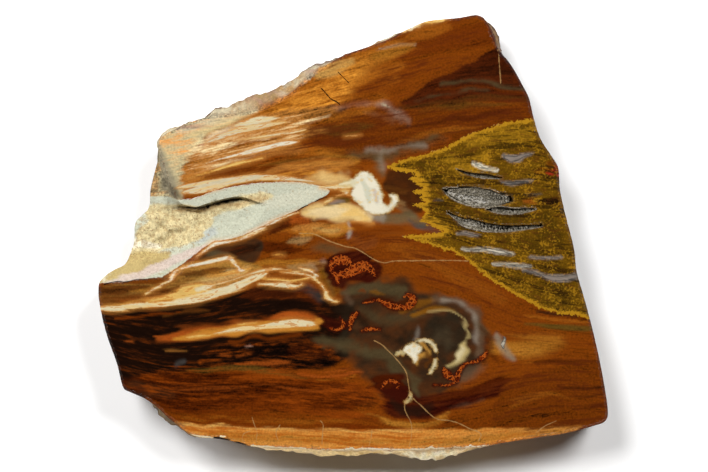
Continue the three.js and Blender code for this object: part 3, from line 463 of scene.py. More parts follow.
        (352, 158, 0.6)]),
    ("lobe", "sand", 5, 1.0, [(138, 204), (140, 150), (160, 110), (204, 98), (240, 92), (252, 108),
        (232, 122), (208, 134), (194, 150), (184, 166), (182, 184), (180, 200)]),
    ("lobe's light top", "bone", 4, 0.9, [(182, 132, 3), (204, 122, 7), (230, 112, 7), (250, 108, 5)]),
    ("lobe's light rim", "ivory", 3, 0.7, [(196, 150, 1), (214, 138, 3), (236, 127, 3), (254, 119, 2)]),
    ("lobe's peach", "peach", 5, 0.6, [(186, 160, 3), (196, 150, 4), (208, 142, 3)]),
    ("lobe's shaded wall", "stone_grey", 4, 0.85, [(160, 150, 4), (166, 168, 7), (170, 184, 8),
        (176, 196, 4)]),
    ("lobe's brown side", "tan", 4, 0.8, [(155, 166, 3), (154, 182, 5), (150, 194, 5)]),
    ("lobe's dark foot", "smoke", 3, 0.8, [(172, 186, 2), (175, 192, 4), (180, 198, 2)]),
    ("lobe's brown smears", "rose", 2, 0.7, [(176, 128, 1), (192, 127, 2), (216, 124, 1)]),
    ("rose by the nodule", "rose", 2.5, 0.6, [(222, 112, 2), (232, 114, 3), (240, 106, 3)]),
    ("upper rind", "bone", 3, 1.0, [(204, 92), (340, 36), (346, 50), (328, 62), (300, 84), (262, 106),
        (240, 108)]),
    ("sun on the lobe", "glow", 5, 0.45, [(196, 134, 4), (214, 128, 7), (240, 113, 7), (262, 104, 4)]),
]

# Colours inside the crisp inlays, painted with room round them
INLAYS = [
    ("mustard stone", "mustard", 4, 1.0, [(380, 168), (440, 146), (534, 112), (610, 112), (610, 326),
        (540, 318), (470, 268), (400, 240), (404, 200)]),
    ("gold field at the top", "ochre", 6, 0.45, [(470, 140, 5), (500, 138, 8), (528, 134, 9)]),
    ("ochre at the left end", "ochre", 6, 0.5, [(450, 160, 4), (468, 168, 6), (488, 158, 5)]),
    ("moss below the tip", "moss", 7, 0.5, [(420, 166, 4), (440, 180, 7), (448, 196, 6)]),
    ("moss between the slits", "moss", 6, 0.6, [(440, 210, 3), (470, 213, 4), (500, 218, 4),
        (545, 216, 6)]),
    ("moss at lower right", "moss", 8, 0.6, [(500, 240, 4), (540, 250, 8), (560, 292, 12)]),
    ("moss at right", "moss", 6, 0.7, [(544, 222, 6), (556, 236, 8)]),
    ("orange brown by the spot", "ember", 3, 0.5, [(526, 201, 2), (536, 201, 3)]),
    ("red spot at the edge", "red", 1.6, 0.95, [(546, 174, 1), (552, 174, 3), (558, 168, 3),
        (560, 176, 2)]),
    ("rust by the red spot", "chestnut", 4, 0.6, [(536, 172, 3), (548, 168, 5), (556, 160, 3)]),
    ("blue black spot", "soot", 1.6, 0.95, [(545, 202, 2), (552, 202, 4), (560, 201, 3.6)]),
    ("dark mark", "soot", 1.2, 0.9, [(424, 184, 0.8), (430, 183, 1.7), (435, 182, 0.6)]),
    ("second dark mark", "slate", 1.2, 0.9, [(436, 203, 0.8), (441, 203, 1.6), (445, 202, 0.6)]),
    ("slate lens", "slate", 1.6, 0.9, [(524, 193, 0.8), (532, 194, 2.4), (542, 192.5, 1)]),
    ("clay", "clay", 3, 1.0, [(190, 176), (250, 172), (290, 176), (350, 180), (350, 200), (290, 224),
        (240, 250), (150, 290), (90, 300), (90, 190)]),
    ("pale clay", "pale_clay", 6, 0.7, [(270, 200, 6), (296, 198, 9), (318, 192, 5)]),
    ("blue clay", "blue_clay", 4, 0.5, [(200, 240, 3), (208, 236, 4), (216, 230, 3)]),
    ("sand", "sand", 2.2, 1.0, [(128, 250), (142, 208), (172, 204), (198, 206), (216, 201), (240, 195),
        (262, 191), (270, 196), (262, 204), (240, 208), (222, 213), (212, 222), (202, 238), (186, 246),
        (160, 250), (140, 256)]),
    ("lower sand", "straw", 2.5, 1.0, [(96, 284), (110, 266), (128, 254), (160, 252), (168, 260),
        (150, 272), (120, 278)]),
    # Painted shade: the sand under the lip is made darker
    ("sand under the lip", "sand_shade", 2.5, 0.7, [(178, 210, 2), (194, 211, 2.4), (212, 207, 2.4),
        (236, 202, 2)]),
    ("shaded sand", "tan", 3, 0.5, [(236, 203, 2), (250, 201, 3), (262, 197, 3)]),
    ("bark's edge", "bone", 0.8, 0.9, [(228, 443, 0.6), (250, 446, 1.4), (300, 448.5, 1.6),
        (350, 449.5, 1.8), (400, 449, 2), (450, 449, 2), (490, 446, 1)]),
    ("rust in the shelf", "rose", 2, 0.7, [(186, 199, 1), (197, 195, 2), (212, 189.5, 1)]),
    ("bone in the shelf", "bone", 2, 0.8, [(176, 192, 2), (190, 189, 2), (206, 187, 1.5)]),
    # The crevice is a real cut, and its dark is painted shadow under the shelf's lip
    ("crevice", "soot", 1.2, 0.9, [(174, 208, 0.6), (186, 208, 1), (198, 208, 1.4), (208, 206, 1.6),
        (218, 203, 1.8), (230, 200, 1.6), (240, 198.5, 0.8)]),
    ("bark", "bone", 1.5, 1.0, [(180, 430), (250, 444), (350, 447), (500, 444), (500, 475), (180, 475)]),
    ("bark's light", "ivory", 3, 0.9, [(372, 452, 3), (400, 455, 5), (440, 455, 6), (486, 450, 4)]),
    ("bark's rose", "rose", 2.5, 0.55, [(268, 450, 1.5), (296, 452, 2), (330, 454, 2), (350, 455, 1.5)]),
    ("blush band", "blush", 2, 0.95, [(104, 286, 3), (130, 277, 4), (160, 268, 5), (184, 256, 5),
        (206, 247, 3.5)]),
    ("ivory band", "ivory", 2, 0.8, [(100, 284, 1), (132, 240, 2), (128, 246, 2), (140, 244, 3),
        (160, 246, 2)]),
    ("green grey at the silhouette", "clay", 2, 0.95, [(130, 238, 3), (134, 226, 5), (142, 217, 3)]),
    ("comb rim", "ochre", 3, 0.9, [(388, 168, 2), (404, 174, 4), (420, 183, 6), (424, 196, 5),
        (425, 208, 5), (430, 219, 5), (444, 230, 4), (424, 236, 3), (404, 237, 2)]),
]

# Crisp bands: cream and ivory wood, glassy lenses, rust curls, white opal
CREAM = [
    ("cream band", "cream", [(99, 308.4, 2.6), (116, 308.6, 3), (132, 306, 3.2), (144, 305, 2.6),
        (165, 304, 3), (181, 301, 4.4), (199, 297, 6), (219, 292, 5), (238, 285.5, 5), (254, 278, 3.6),
        (266, 273.5, 1.6)]),
    ("gold over the band", "gold", [(146, 301.5, 0.8), (166, 298, 2.4), (184, 291.5, 5), (198, 288, 4.6),
        (212, 286, 1.2)]),
    ("gold wisps over the band", "gold", [(206, 277, 0.5), (222, 274.5, 1.6), (238, 271, 2),
        (250, 268.5, 0.8)]),
    ("line to the middle", "cream", [(196, 290, 0.6), (226, 282, 1), (246, 275, 1.4), (262, 270.5, 1.6),
        (280, 269, 1.1), (298, 272, 0.6)]),
    ("horn", "ivory", [(176, 272, 0.7), (190, 266.5, 1.6), (204, 263.5, 2.2), (218, 260, 2.3),
        (229, 258, 2.2), (235, 261.5, 1.8), (238, 268, 1.4), (243, 272, 0.6)]),
    ("line above the horn", "ivory", [(144, 294, 0.5), (156, 288, 1), (166, 281, 1.4), (178, 272, 1.3),
        (190, 266, 0.8)]),
    ("lip of the hollow", "ivory", [(196, 257, 0.9), (208, 247, 1.7), (216, 243.5, 1.9), (227, 242, 1.6),
        (243, 238, 1.5), (256, 231.5, 1.7), (270, 224.5, 1.6), (285, 217.5, 1.5), (298, 211.5, 0.8)]),
    ("rag one", "gold", [(262, 279, 0.7), (276, 279.5, 1.6), (292, 281, 1.4), (310, 277.5, 1)]),
    ("rag two", "cream", [(258, 284, 0.8), (272, 284.5, 2.2), (288, 285.5, 3), (296, 286, 1.6),
        (302, 283.5, 0.8)]),
    ("rag three", "cream", [(280, 272, 0.6), (296, 273.5, 1), (306, 274.5, 1.6), (316, 278, 1.3)]),
    ("rag four", "ivory", [(300, 268, 0.6), (310, 271, 1.4), (318, 276, 1.6)]),
    ("tongue's edge", "cream", [(314, 276, 1.4), (318, 281, 1.2), (321, 286, 1.6), (324.5, 290, 1.3),
        (325, 294.5, 1.8), (329, 299, 1.8), (336, 302, 0.8)]),
    ("flame's core", "cream", [(212, 334, 0.7), (226, 331, 1.8), (242, 328.5, 2.6), (258, 327.5, 2.2),
        (274, 325, 3.4), (286, 323.5, 4.4), (300, 323, 4.2), (312, 324, 3), (318, 325, 0.8)]),
    ("flame's lower fleck", "gold", [(188, 337.5, 0.5), (200, 336, 1.4), (212, 335, 0.6)]),
    ("flame's upper fleck", "gold", [(236, 325, 0.5), (246, 324, 1.2), (256, 323.5, 0.6)]),
    ("cream lens", "cream", [(232, 127, 0.6), (246, 123, 3.4), (258, 120, 4.4), (270, 119, 3),
        (283, 117.5, 0.6)]),
    ("cream streak under it", "bone", [(206, 143, 1.2), (222, 136.5, 3), (240, 130.5, 3), (262, 126, 2.4),
        (284, 122.5, 0.8)]),
    ("thin cream streak", "cream", [(240, 141, 0.5), (258, 137.5, 1), (280, 134, 1.6), (296, 131.5, 1.6),
        (306, 129.5, 0.5)]),
    ("long cream streak", "ivory", [(199, 168, 0.6), (214, 161, 1.2), (236, 155, 1.8), (258, 149.5, 2.4),
        (276, 144.5, 2.8), (290, 142.5, 2.2), (297, 141.5, 0.6)]),
    ("tan streak", "gold", [(190, 178, 0.5), (214, 171, 1.2), (240, 163.5, 1.4), (262, 158, 0.6)]),
    ("smear over the clay", "bone", [(180, 187, 1.4), (200, 184.5, 3.6), (222, 182, 4), (244, 179, 3.6),
        (262, 177, 3), (284, 178.5, 2.4), (306, 180.5, 1.6), (322, 183, 0.8)]),
    ("shelf over the crevice", "bone", [(184, 192, 2), (198, 190, 4), (214, 187, 3.4), (228, 184, 2)]),
    ("neck of the opal", "cream", [(318, 187, 0.8), (328, 187.5, 1.6), (338, 186.5, 2.4), (348, 186, 2)]),
    ("rust in the neck", "rose", [(340, 190, 0.6), (347, 193, 1.4), (353, 196, 1)]),
    ("line on the brown lens", "cream", [(322, 204, 0.5), (330, 199.5, 0.9), (339, 195.5, 1),
        (348, 193.5, 0.6)]),
    ("fleck in the rust", "gold", [(273, 255, 0.3), (278, 254.6, 0.9), (283, 254.6, 0.3)]),
    ("streaks in the brown", "bone", [(343, 136.5, 0.2), (350, 136, 0.5), (360, 135, 0.2)]),
    ("chips at the top", "ivory", [(401, 30.5, 0.5), (408, 27.5, 1.3), (416, 26, 1.7), (422, 24, 0.6)]),
    ("gold chip at the top", "gold", [(422, 24, 0.6), (430, 21.5, 1.8), (440, 19, 1.8), (448, 17.5, 0.6)]),
]
WHITE = [
    ("opal blob", "ivory", [(350, 181), (355, 178), (359, 174), (364, 172), (370, 174), (375, 180),
        (379, 187), (382, 194), (382, 201), (386, 206), (392, 208), (384, 213), (374, 213), (366, 210.5),
        (360, 204), (354, 199), (352, 193), (355, 188), (351, 185)]),
    ("opal's second lobe", "ivory", [(390, 207, 1.4), (394, 203, 2.6), (395, 198, 2.4), (391, 195.5, 1)]),
    ("opal's arm", "cream", [(340, 184.5, 0.6), (346, 183, 1.6), (353, 183, 2.2)]),
    ("green light in the opal", "pale_clay", [(362, 181, 0.5), (366, 188, 1.6), (368, 196, 1.8),
        (369, 202, 0.6)]),
    ("rose light in the opal", "blush", [(374, 190, 0.3), (376, 196, 0.9), (377, 202, 0.3)]),
    ("blob in the eye", "ivory", [(404, 350), (407, 346), (411, 344), (417, 344.5), (421, 348), (421, 352),
        (417, 354), (417, 360), (414.5, 363), (412.5, 357), (407, 353)]),
    ("ring's light side", "bone", [(417, 341, 0.4), (425, 340.5, 0.6), (431, 343, 0.9), (435, 347, 0.9),
        (436, 351, 0.4)]),
    ("streak by the eye", "bone", [(435.5, 360, 0.5), (434.5, 365, 1.1), (432, 370, 1), (430, 373, 0.4)]),
    ("flecks left of the blob", "straw", [(396, 354, 0.4), (400, 352.5, 0.8), (404, 353.5, 0.5)]),
    ("crack's triangle", "straw", [(410, 393.5, 0.4), (411, 397, 0.9), (409, 400, 0.6), (406, 402, 0.3)]),
]
GLASS = [
    ("upper right lens", "glass_lilac", [(504, 155.5, 0.6), (509, 158.5, 3), (517, 158.5, 2.6),
        (524, 155.5, 1.6), (532, 154, 0.4)]),
    ("white lens", "ivory", [(471, 163, 0.3), (477, 165, 1), (483, 167.5, 0.9), (491, 169, 0.5),
        (498, 170.5, 0.3)]),
    ("lilac line", "glass_lilac", [(502, 182.5, 0.4), (509, 183.5, 1.3), (519, 182.5, 1), (534, 181, 0.5)]),
    ("lens below the long slit", "glass_lilac", [(455, 233.5, 0.3), (463, 233, 0.9), (470, 234.5, 0.9),
        (478, 236, 0.3)]),
    ("middle lens", "glass_white", [(462, 249, 0.3), (472, 250, 0.7), (485, 249.5, 1.2), (500, 251.8, 1.7),
        (513, 254, 0.4)]),
    ("thin lens", "glass_lilac", [(528, 257, 0.3), (545, 258.2, 0.6), (562, 257, 0.3)]),
    ("lower lens", "glass_white", [(494, 264, 0.2), (506, 264.5, 0.9), (518, 266, 1.4), (528, 266.5, 0.6)]),
    ("edge lens", "glass_lilac", [(524, 271, 0.3), (533, 272, 1.2), (542, 275, 1.4), (553, 278, 2.4),
        (566, 278, 2.6), (580, 275, 1.8)]),
    ("lilac white spot", "glass_white", [(501.5, 334, 0.4), (502.5, 339, 1.5), (504, 345, 1.6),
        (507, 352, 0.4)]),
]
DRUSE = [
    ("rim of the thin slit", [(456, 168.5, 0.5), (464, 172, 0.9), (476, 175.5, 1.9), (488, 177, 1.8),
        (500, 178.5, 0.6)]),
    ("rim of the wide slit", [(443, 188.5, 1), (452, 192.5, 5.6), (464, 195.5, 8.6), (478, 197.5, 10.2),
        (490, 199.5, 8), (502, 200, 4.4), (512, 200.5, 1)]),
    ("pocket above the wide slit", [(480, 189.5, 0.8), (490, 191.5, 2.6), (500, 195, 2.8),
        (508, 196.5, 1)]),
    ("rim of the short slit", [(486, 208.5, 1), (498, 209.5, 4), (511, 211, 3.6), (523, 210.5, 3),
        (536, 209, 1)]),
    ("rim of the long slit", [(447, 213, 0.5), (456, 218, 1.8), (463, 222.5, 3.6), (473, 225, 4.8),
        (484, 228, 3.8), (496, 229.5, 2.8), (509, 229.5, 2.6), (523, 228, 2.2), (534, 227, 1.6),
        (543, 226, 0.4)]),
]
SEPTA = [
    ("upper septum", 0.5, [(482, 188.5), (488, 194), (497, 201), (499, 202.5)]),
    ("its roof", 0.35, [(482, 188.5), (490, 189), (500, 193.5), (508, 196)]),
]
EMBERS = [
    ("bright knot of curls", [(331, 270, 1.5), (334, 262, 4), (341, 260, 5), (348, 262, 3.4),
        (351, 267, 1)]),
    ("fingers of the curls", [(334, 274, 2), (344, 274, 4), (354, 270, 5.4), (364, 266, 5), (371, 270, 3),
        (375, 276, 1)]),
    ("tail of the curls", [(332, 272, 1), (337, 278, 2.2), (338, 284, 0.8)]),
    ("long curl's thread", [(363, 303, 0.5), (372, 301, 0.9), (379, 300, 1)]),
    ("long curl", [(379, 300, 1), (386, 303.5, 2.4), (394, 306.5, 2.8), (401, 307, 2), (407, 309, 1.2)]),
    ("spiral", [(402, 309, 1.4), (409, 306, 3.4), (413, 300, 3.6), (409, 295.5, 2.2), (404, 297, 0.8)]),
    ("small curl", [(350, 330, 0.8), (350.5, 323, 2), (353, 317, 2.4), (357, 313, 1.2)]),
    ("rust by the small curl", [(340, 318, 0.6), (344, 325, 1.4), (336, 330, 1), (328, 327, 0.6)]),
    ("curl by the eye", [(487, 352, 1), (483, 357, 2.2), (476, 361.5, 1.2), (468, 363, 0.9),
        (461, 368, 1.6), (458, 375, 2.2), (457, 381, 1.4), (448, 385, 0.8), (434, 385, 0.5)]),
    ("knot by the curl", [(444, 369, 1.4), (447, 374, 3.4), (452, 378, 2.4), (455, 380, 1)]),
    ("rust oval", [(382, 388, 0.7), (385, 383, 1.5), (392, 381, 1.8), (398, 384, 1.5), (397, 389, 0.7)]),
    ("row under the eye's left", [(362, 331, 0.6), (370, 329, 1.6), (380, 329.5, 0.8)]),
]
MUSTARD = [
    ("mustard stone", [(386, 168), (397, 162), (408, 158), (423, 155), (439, 150), (452, 143.5), (465, 136),
        (481, 130.5), (497, 125), (511, 122), (523, 120.5), (534, 118), (620, 100), (620, 330), (592, 320),
        (576, 314.5), (558, 313.5), (543, 309), (530, 302.5), (517, 295.5), (503, 287.5), (489, 278.5),
        (478, 269.5), (467, 260), (454, 252.5), (440, 248), (425, 243), (413, 239.5), (403, 236.4),
        (413, 235), (424, 234), (437, 233.2), (444, 231), (436, 228), (428, 224), (420, 221), (424, 215.5),
        (426, 211), (421, 207.5), (411, 205.6), (419, 203.4), (425, 202), (420, 198), (422, 195),
        (412, 191.4), (418, 189.8), (424, 188), (418, 185), (409, 178.8), (417, 176.6), (414, 173.4),
        (404, 172), (396, 170.8)]),
]
CLAY = [
    ("floor of the hollow", [(60, 284), (100, 283), (122, 282), (143, 279), (162, 277), (176, 268),
        (190, 258), (204, 247), (214, 241), (228, 239.5), (243, 235.5), (256, 229.5), (270, 222.5),
        (285, 215.5), (300, 208.5), (316, 200.5), (327, 195), (330, 191), (325, 187), (312, 184.4),
        (298, 182), (286, 182), (268, 182.5), (250, 184), (232, 187), (214, 191), (204, 195), (192, 199),
        (178, 200), (166, 196), (150, 196), (120, 196), (60, 200)]),
    ("bark at the foot", [(250, 445.5), (262, 446.5), (276, 447.5), (300, 448.5), (316, 450), (330, 450.5),
        (350, 449.5), (372, 449), (392, 450), (420, 449.5), (450, 448.5), (476, 447), (494, 446),
        (500, 452), (480, 475), (240, 475)]),
    ("chip at the lower left", [(186, 434), (200, 436.5), (216, 436), (225, 435.5), (228, 438),
        (221, 437.6), (214, 438.6), (206, 439.6), (192, 438)]),
]
LIGHT_CRACKS = [
    ("long crack", 0.46, [(299, 233.5), (306, 233.4), (313.5, 233.8), (321, 237), (328, 240.5),
        (338.5, 244.3), (346, 246.6), (354.5, 248), (361.5, 251.5), (370, 257), (378, 261.4), (386, 262.8),
        (392, 261.2), (410, 260.8), (430, 260.4), (452, 260.4), (468, 261)]),
    ("eye crack", 0.43, [(374, 340.5), (382, 344.8), (388, 350.5), (393.5, 356), (400.5, 364), (406, 372),
        (408.5, 384.8), (410, 393.5)]),
    ("left branch", 0.37, [(410, 393.5), (406.5, 399), (405, 404), (404.6, 408), (407, 414.6),
        (410.6, 421.5), (411.8, 430.7), (410.7, 440), (409, 448)]),
    ("right branch", 0.43, [(410, 393.5), (414.5, 399.8), (421, 405.5), (429, 413.5), (437, 419),
        (448.5, 420.4), (458, 423), (469, 428.4), (481, 434), (478.5, 441)]),
    ("crack in the wedge", 0.43, [(498.5, 47), (499, 60), (500, 72), (500.6, 83)]),
    ("short crack one", 0.31, [(252, 417), (254.5, 425), (257, 432), (256, 442)]),
    ("short crack two", 0.31, [(250, 431), (243.5, 434), (242.5, 440), (247, 446)]),
    ("short crack three", 0.31, [(280, 425), (276, 432), (278, 440)]),
    ("short crack four", 0.37, [(320.5, 421), (323, 424), (322.5, 434), (322, 444)]),
    ("short crack five", 0.28, [(372, 430), (371, 438), (369, 446)]),
    ("lower right crack", 0.34, [(536, 433), (544, 426.5), (556, 421)]),
]
DARK_CRACKS = [
    ("crack in the oak", 0.5, [(321, 88), (326, 93.5), (331, 99), (336, 101.5), (340, 104.5)]),
    ("second crack in the oak", 0.35, [(338, 72), (344, 78), (349, 83)]),
    ("dark notch", 1.7, [(214, 439.8), (219, 439.6), (224, 440.4), (227, 441.4)]),
    ("dark notch's end", 0.8, [(230, 442.4), (240, 443.6), (250, 445.6)]),
    ("hollow's crack", 0.5, [(104, 284.5), (116, 281.5), (126, 281.8), (136, 279.5), (146, 279.4)]),
    # The dark lip and its end are painted shade along the hollow's lip, not open cracks
    ("dark lip", 0.36, [(296, 212), (301, 208.6), (304.5, 206.5), (308, 205)]),
    ("dark lip's end", 0.3, [(315, 201.6), (320.5, 199), (327, 197.4)]),
]

# Rough patches of the face that were never polished, in pixels
CREVICE = [
    (180, 206.5, 0.4), (188, 207.5, 0.7), (198, 207.8, 1.1), (207, 205.6, 1.6), (218, 202.4, 1.9),
    (229, 199.8, 1.8), (239, 198.8, 1.3), (248, 200.5, 0.4),
]
SAND_POCKET = [
    (120, 262), (128, 240), (140, 208), (172, 205), (198, 207), (216, 202), (240, 196.5), (256, 191.5),
    (267, 193), (269, 198), (262, 203.5), (240, 209), (222, 213), (213, 221), (202, 238), (186, 247),
    (160, 256),
]

# The rind's colours round the rim: a place in pixels, its main colour and the colour of its mottles
RIND = [
    (110, 300, "tan", "brown"), (104, 340, "smoke", "walnut"), (120, 385, "smoke", "stone_grey"),
    (150, 412, "olive_grey", "smoke"), (190, 437, "stone_grey", "olive_grey"), (222, 444, "walnut", "bone"),
    (258, 448, "bone", "sand"), (300, 451, "sand", "bone"), (350, 455, "sand", "straw"),
    (420, 460, "ivory", "sand"), (490, 458, "bone", "straw"), (530, 444, "brown", "tan"),
    (580, 434, "walnut", "brown"), (607, 420, "olive_grey", "walnut"), (606, 370, "tan", "stone_grey"),
    (592, 320, "stone_grey", "tan"), (582, 260, "stone_grey", "olive_grey"),
    (573, 200, "stone_grey", "tan"), (556, 160, "rose", "olive_grey"), (536, 122, "olive_grey", "rose"),
    (524, 88, "stone_grey", "brown"), (508, 58, "stone_grey", "rose"), (492, 30, "tan", "brown"),
    (460, 15, "bone", "rose"), (420, 20, "bone", "stone_grey"), (380, 36, "tan", "bone"),
    (345, 48, "bone", "stone_grey"), (318, 60, "bone", "rose"), (290, 76, "tan", "bone"),
    (262, 90, "sand_shade", "rose"), (230, 96, "bone", "tan"), (205, 104, "bone", "sand_shade"),
    (160, 148, "bone", "tan"), (152, 190, "tan", "brown"), (140, 216, "clay", "stone_grey"),
    (128, 254, "ivory", "sand"), (104, 276, "sand", "blush"),
]

# Second colours that run through the wood in streaks, and how much of it they take
VEINS = [
    ("upper field", "umber", 8, 0.4, [(262, 108), (345, 60), (400, 40), (500, 14), (504, 44), (407, 98),
        (300, 136)]),
    ("upper bright", "amber", 16, 0.5, [(262, 112), (300, 92), (345, 66), (372, 54), (350, 92),
        (330, 112)]),
    ("lobe", "peach", 4, 0.4, [(150, 200), (150, 150), (205, 100), (345, 45), (300, 92), (262, 112),
        (210, 150)]),
    ("upper left fibres", "sand", 6, 0.42, [(188, 172), (192, 146), (232, 124), (292, 116), (330, 114),
        (300, 138), (250, 156)]),
    ("olive fibres", "amber", 6, 0.25, [(240, 172), (300, 158), (352, 152), (360, 168), (300, 176)]),
    ("middle field", "umber", 6, 0.65, [(300, 130), (400, 104), (533, 104), (534, 120), (446, 146),
        (350, 160)]),
    ("wedge", "umber", 4, 0.5, [(500, 46), (404, 99), (450, 103), (530, 100), (524, 82)]),
    ("left amber", "brown", 3, 0.7, [(100, 284), (186, 270), (262, 272), (230, 290), (140, 304),
        (100, 306)]),
    ("black zone", "chestnut", 6, 0.22, [(98, 313), (240, 294), (320, 292), (350, 310), (350, 350),
        (330, 366), (200, 374), (110, 384)]),
    ("red fibres", "chestnut", 4, 0.5, [(204, 352), (330, 346), (340, 362), (200, 366)]),
    ("lower brown", "chestnut", 7, 0.5, [(140, 376), (300, 370), (366, 380), (388, 408), (180, 416)]),
    ("golden brown", "mahogany", 5, 0.5, [(176, 412), (400, 424), (560, 404), (520, 428), (340, 430),
        (185, 426)]),
    ("peach band", "russet", 3, 0.5, [(168, 428), (350, 430), (582, 429), (500, 447), (330, 456),
        (195, 440)]),
    ("rust field", "umber", 6, 0.4, [(350, 226), (430, 236), (530, 300), (520, 322), (424, 300),
        (344, 250)]),
    ("eye", "night", 6, 0.12, [(342, 282), (420, 284), (484, 320), (484, 356), (440, 392), (386, 396),
        (348, 320)]),
    ("right golden", "umber", 5, 0.35, [(484, 318), (596, 330), (604, 364), (490, 374)]),
    ("right rust", "umber", 5, 0.6, [(500, 392), (560, 366), (604, 366), (608, 424), (494, 424)]),
    ("glass at the middle", "brown", 6, 0.2, [(300, 196), (400, 160), (424, 190), (424, 230), (330, 224)]),
]

# Colours of the glassy parts, which are smooth and aren't drawn out along the grain
GLASSY = (
    "smoke", "slate", "lilac", "haze", "olive_grey", "stone_grey", "murk", "night", "mire", "mist", "glow",
)

# The painting of the pattern, in millimetres: how far beyond a stroke its depth is kept, how far soft
# fields and glassy ones wander, how far the grain draws them out, and the spacing of the net that the
# grain is fitted to. The last one is a count: a curve's points for each point set by hand.
FAR = 2.0
FIELD_WANDER = 0.6
CLOUD_WANDER = 1.1
FINGERS = 2.4
GRAIN_NET = 6.0
SMOOTH_PER_SPAN = 4

# The cuts in the face: how far inside the hollow's wall a place is and how deep it lies there, how deep
# the crevice is, how much of a slit's round section lies above its flat floor, and how far round a
# slit's middle line places are looked at.
WALL_PLACES = (0, 1.12, 1.6, 3.0)
WALL_DEPTHS = (0, 3.3, 11, 40)
CREVICE_DEPTH = 2.6
SLIT_ROUND = 0.85
SLIT_ROOM = 4

# The stone's mesh: the worn rim's rounding as angles, the slits' outlines as shares of their width,
# how far thin lines keep from the rim, how far a net's points keep from the rim, from the lines and
# from the back's edge as shares of its step, the gap below which two points are one, and the angle
# from which an edge is sharp.
ROUNDING_ANGLES = (0.0, 0.5, 1.0, math.pi / 2)
SLIT_OUTLINES = (1.0, 0.9, 0.7)
LINE_ROOM = 0.5
RIM_GAP = 0.55
LINE_GAP = 0.6
BACK_GAP = 0.5
MERGE_GAP = 1e-5
SHARP_ANGLE = math.radians(62)

# Where the polish ends: how far down the side, how deep in the cuts and how suddenly, the upward part
# of a normal below which a face counts as steep, and how suddenly it does.
POLISH_DEPTH = 0.7
CUT_START = 0.08
CUT_SHARPNESS = 8
STEEP = 0.995
STEEP_SHARPNESS = 400

# The rind: where it begins below the face, how ragged that line is, how softly it sets in, how far it
# wears the bands away, and how much painted shade darkens the stone's side just above it.
RIND_START = 0.9
RIND_RAGGED = 0.6
RIND_FADE = 1.6
RIND_WEAR = 3
RIM_SHADE = 0.7

# The rind's colours: how much of the second colour shows, the painted light that makes them lighter or
# darker on the side away from the keys, across from them and towards them, the brightest that they get,
# and between which depths they go over into brown, and how far. The depths are in millimetres.
MOTTLING = 0.85
PAINTED_LIGHT_BY_SIDE = (1.75, 1.0, 0.95)
BRIGHTEST = 0.85
BROWN_FROM = 6
BROWN_BELOW = 13
BROWNING = 0.75

# A crust: how many stations its ends keep from the slit's, its sides from the edge down to the keel,
# and the dish of its upper face across.
CRUST_PER_SPAN = 8
CRUST_ENDS = 3
CRUST_SIDES = (0.0, 0.3, 0.6, 0.85, 1.0)
CRUST_DISH = (-0.7, 0.0, 0.7)

# Quartz: its refraction and how clear it is. A crystal's shaft narrows to a share of its radius and
# its tip has a share of its length. The sizes are shares too, and the lean and the turn are angles.
QUARTZ_IOR = 1.544
QUARTZ_CLEARNESS = 0.3
CRYSTAL_TAPER = 0.82
CRYSTAL_TIP = 0.55
CRYSTAL_SIZES = (0.45, 1.25)
CRYSTAL_LEAN = 0.45
FULL_TURN = 6.28

# The studio, in metres: how bright its light makes white, the lamps' colours, and the lamps, each
# with the setting of its power, its place, its size and its colour. Then the floor, and the light
# from all round, which is dimmer overhead.
STUDIO_LIGHT = 1.55
PLAIN_LIGHT = (1.0, 1.0, 1.0)
WARM_LIGHT = (1.0, 0.75, 0.5)
LAMPS = [
    ("left_key", "key", (-0.34, 0.42, 1.0), 0.36, PLAIN_LIGHT),
    ("right_key", "key", (0.42, 0.42, 1.0), 0.36, PLAIN_LIGHT),
    ("side", "side", (-0.9, 0.36, 0.42), 0.4, PLAIN_LIGHT),
    ("fill", "fill", (0.0, -0.9, 0.04), 0.07, WARM_LIGHT),
]
FLOOR_REACH = 1.5
FLOOR_LEVEL = -0.0001
FLOOR_COLOUR = (0.96, 0.96, 0.96, 1.0)
LOW_SKY = 0.1
HIGH_SKY = 0.75
LOW_SKY_LIGHT = 0.1
HIGH_SKY_LIGHT = 0.01


# Numbers, noise and lines


def clamp01(value):
    """The value kept between 0 and 1."""
    return np.clip(value, 0.0, 1.0)


def ease(share):
    """A share from 0 to 1 that starts and ends gently."""
    return share * share * (3 - 2 * share)


def blend(a, b, share):
    """What lies at a share of the way from one value to another."""
    return a + (b - a) * share


def scatter(i, j):
    """A repeatable number from 0 to 1 for a whole-number place."""
    value = np.sin(i * 127.1 + j * 311.7) * 43758.5453
    return value - np.floor(value)


def lumps(x, y):
    """Smooth lumps from -1 to 1, about one unit across."""
    i = np.floor(x)
    j = np.floor(y)
    u = ease(x - i)
    v = ease(y - j)
    low = blend(scatter(i, j), scatter(i + 1, j), u)
    high = blend(scatter(i, j + 1), scatter(i + 1, j + 1), u)
    return blend(low, high, v) * 2 - 1


def linear(name):
    """The linear red, green and blue that look like a colour of the palette under the studio's light."""
    value = PALETTE[name]
    shown = np.array([int(value[k:k + 2], 16) for k in (0, 2, 4)]) / 255
    return np.where(shown <= 0.04045, shown / 12.92, ((shown + 0.055) / 1.055) ** 2.4) / STUDIO_LIGHT


def as_bands(cracks):
    """Cracks as bands with the same half width all along."""
    return [(name, [(x, y, half) for x, y in points]) for name, half, points in cracks]


def to_mm(points):
    """Pixels of the photograph as millimetres on the face.

    A third number is a width and only changes scale.
    """
    points = np.array(points, float)
    placed = points * PIXEL
    placed[:, 0] = (points[:, 0] - PATTERN_ORIGIN[0]) * PIXEL - OUTLINE_MIDDLE[0]
    placed[:, 1] = (PATTERN_ORIGIN[1] - points[:, 1]) * PIXEL - OUTLINE_MIDDLE[1]
    return placed


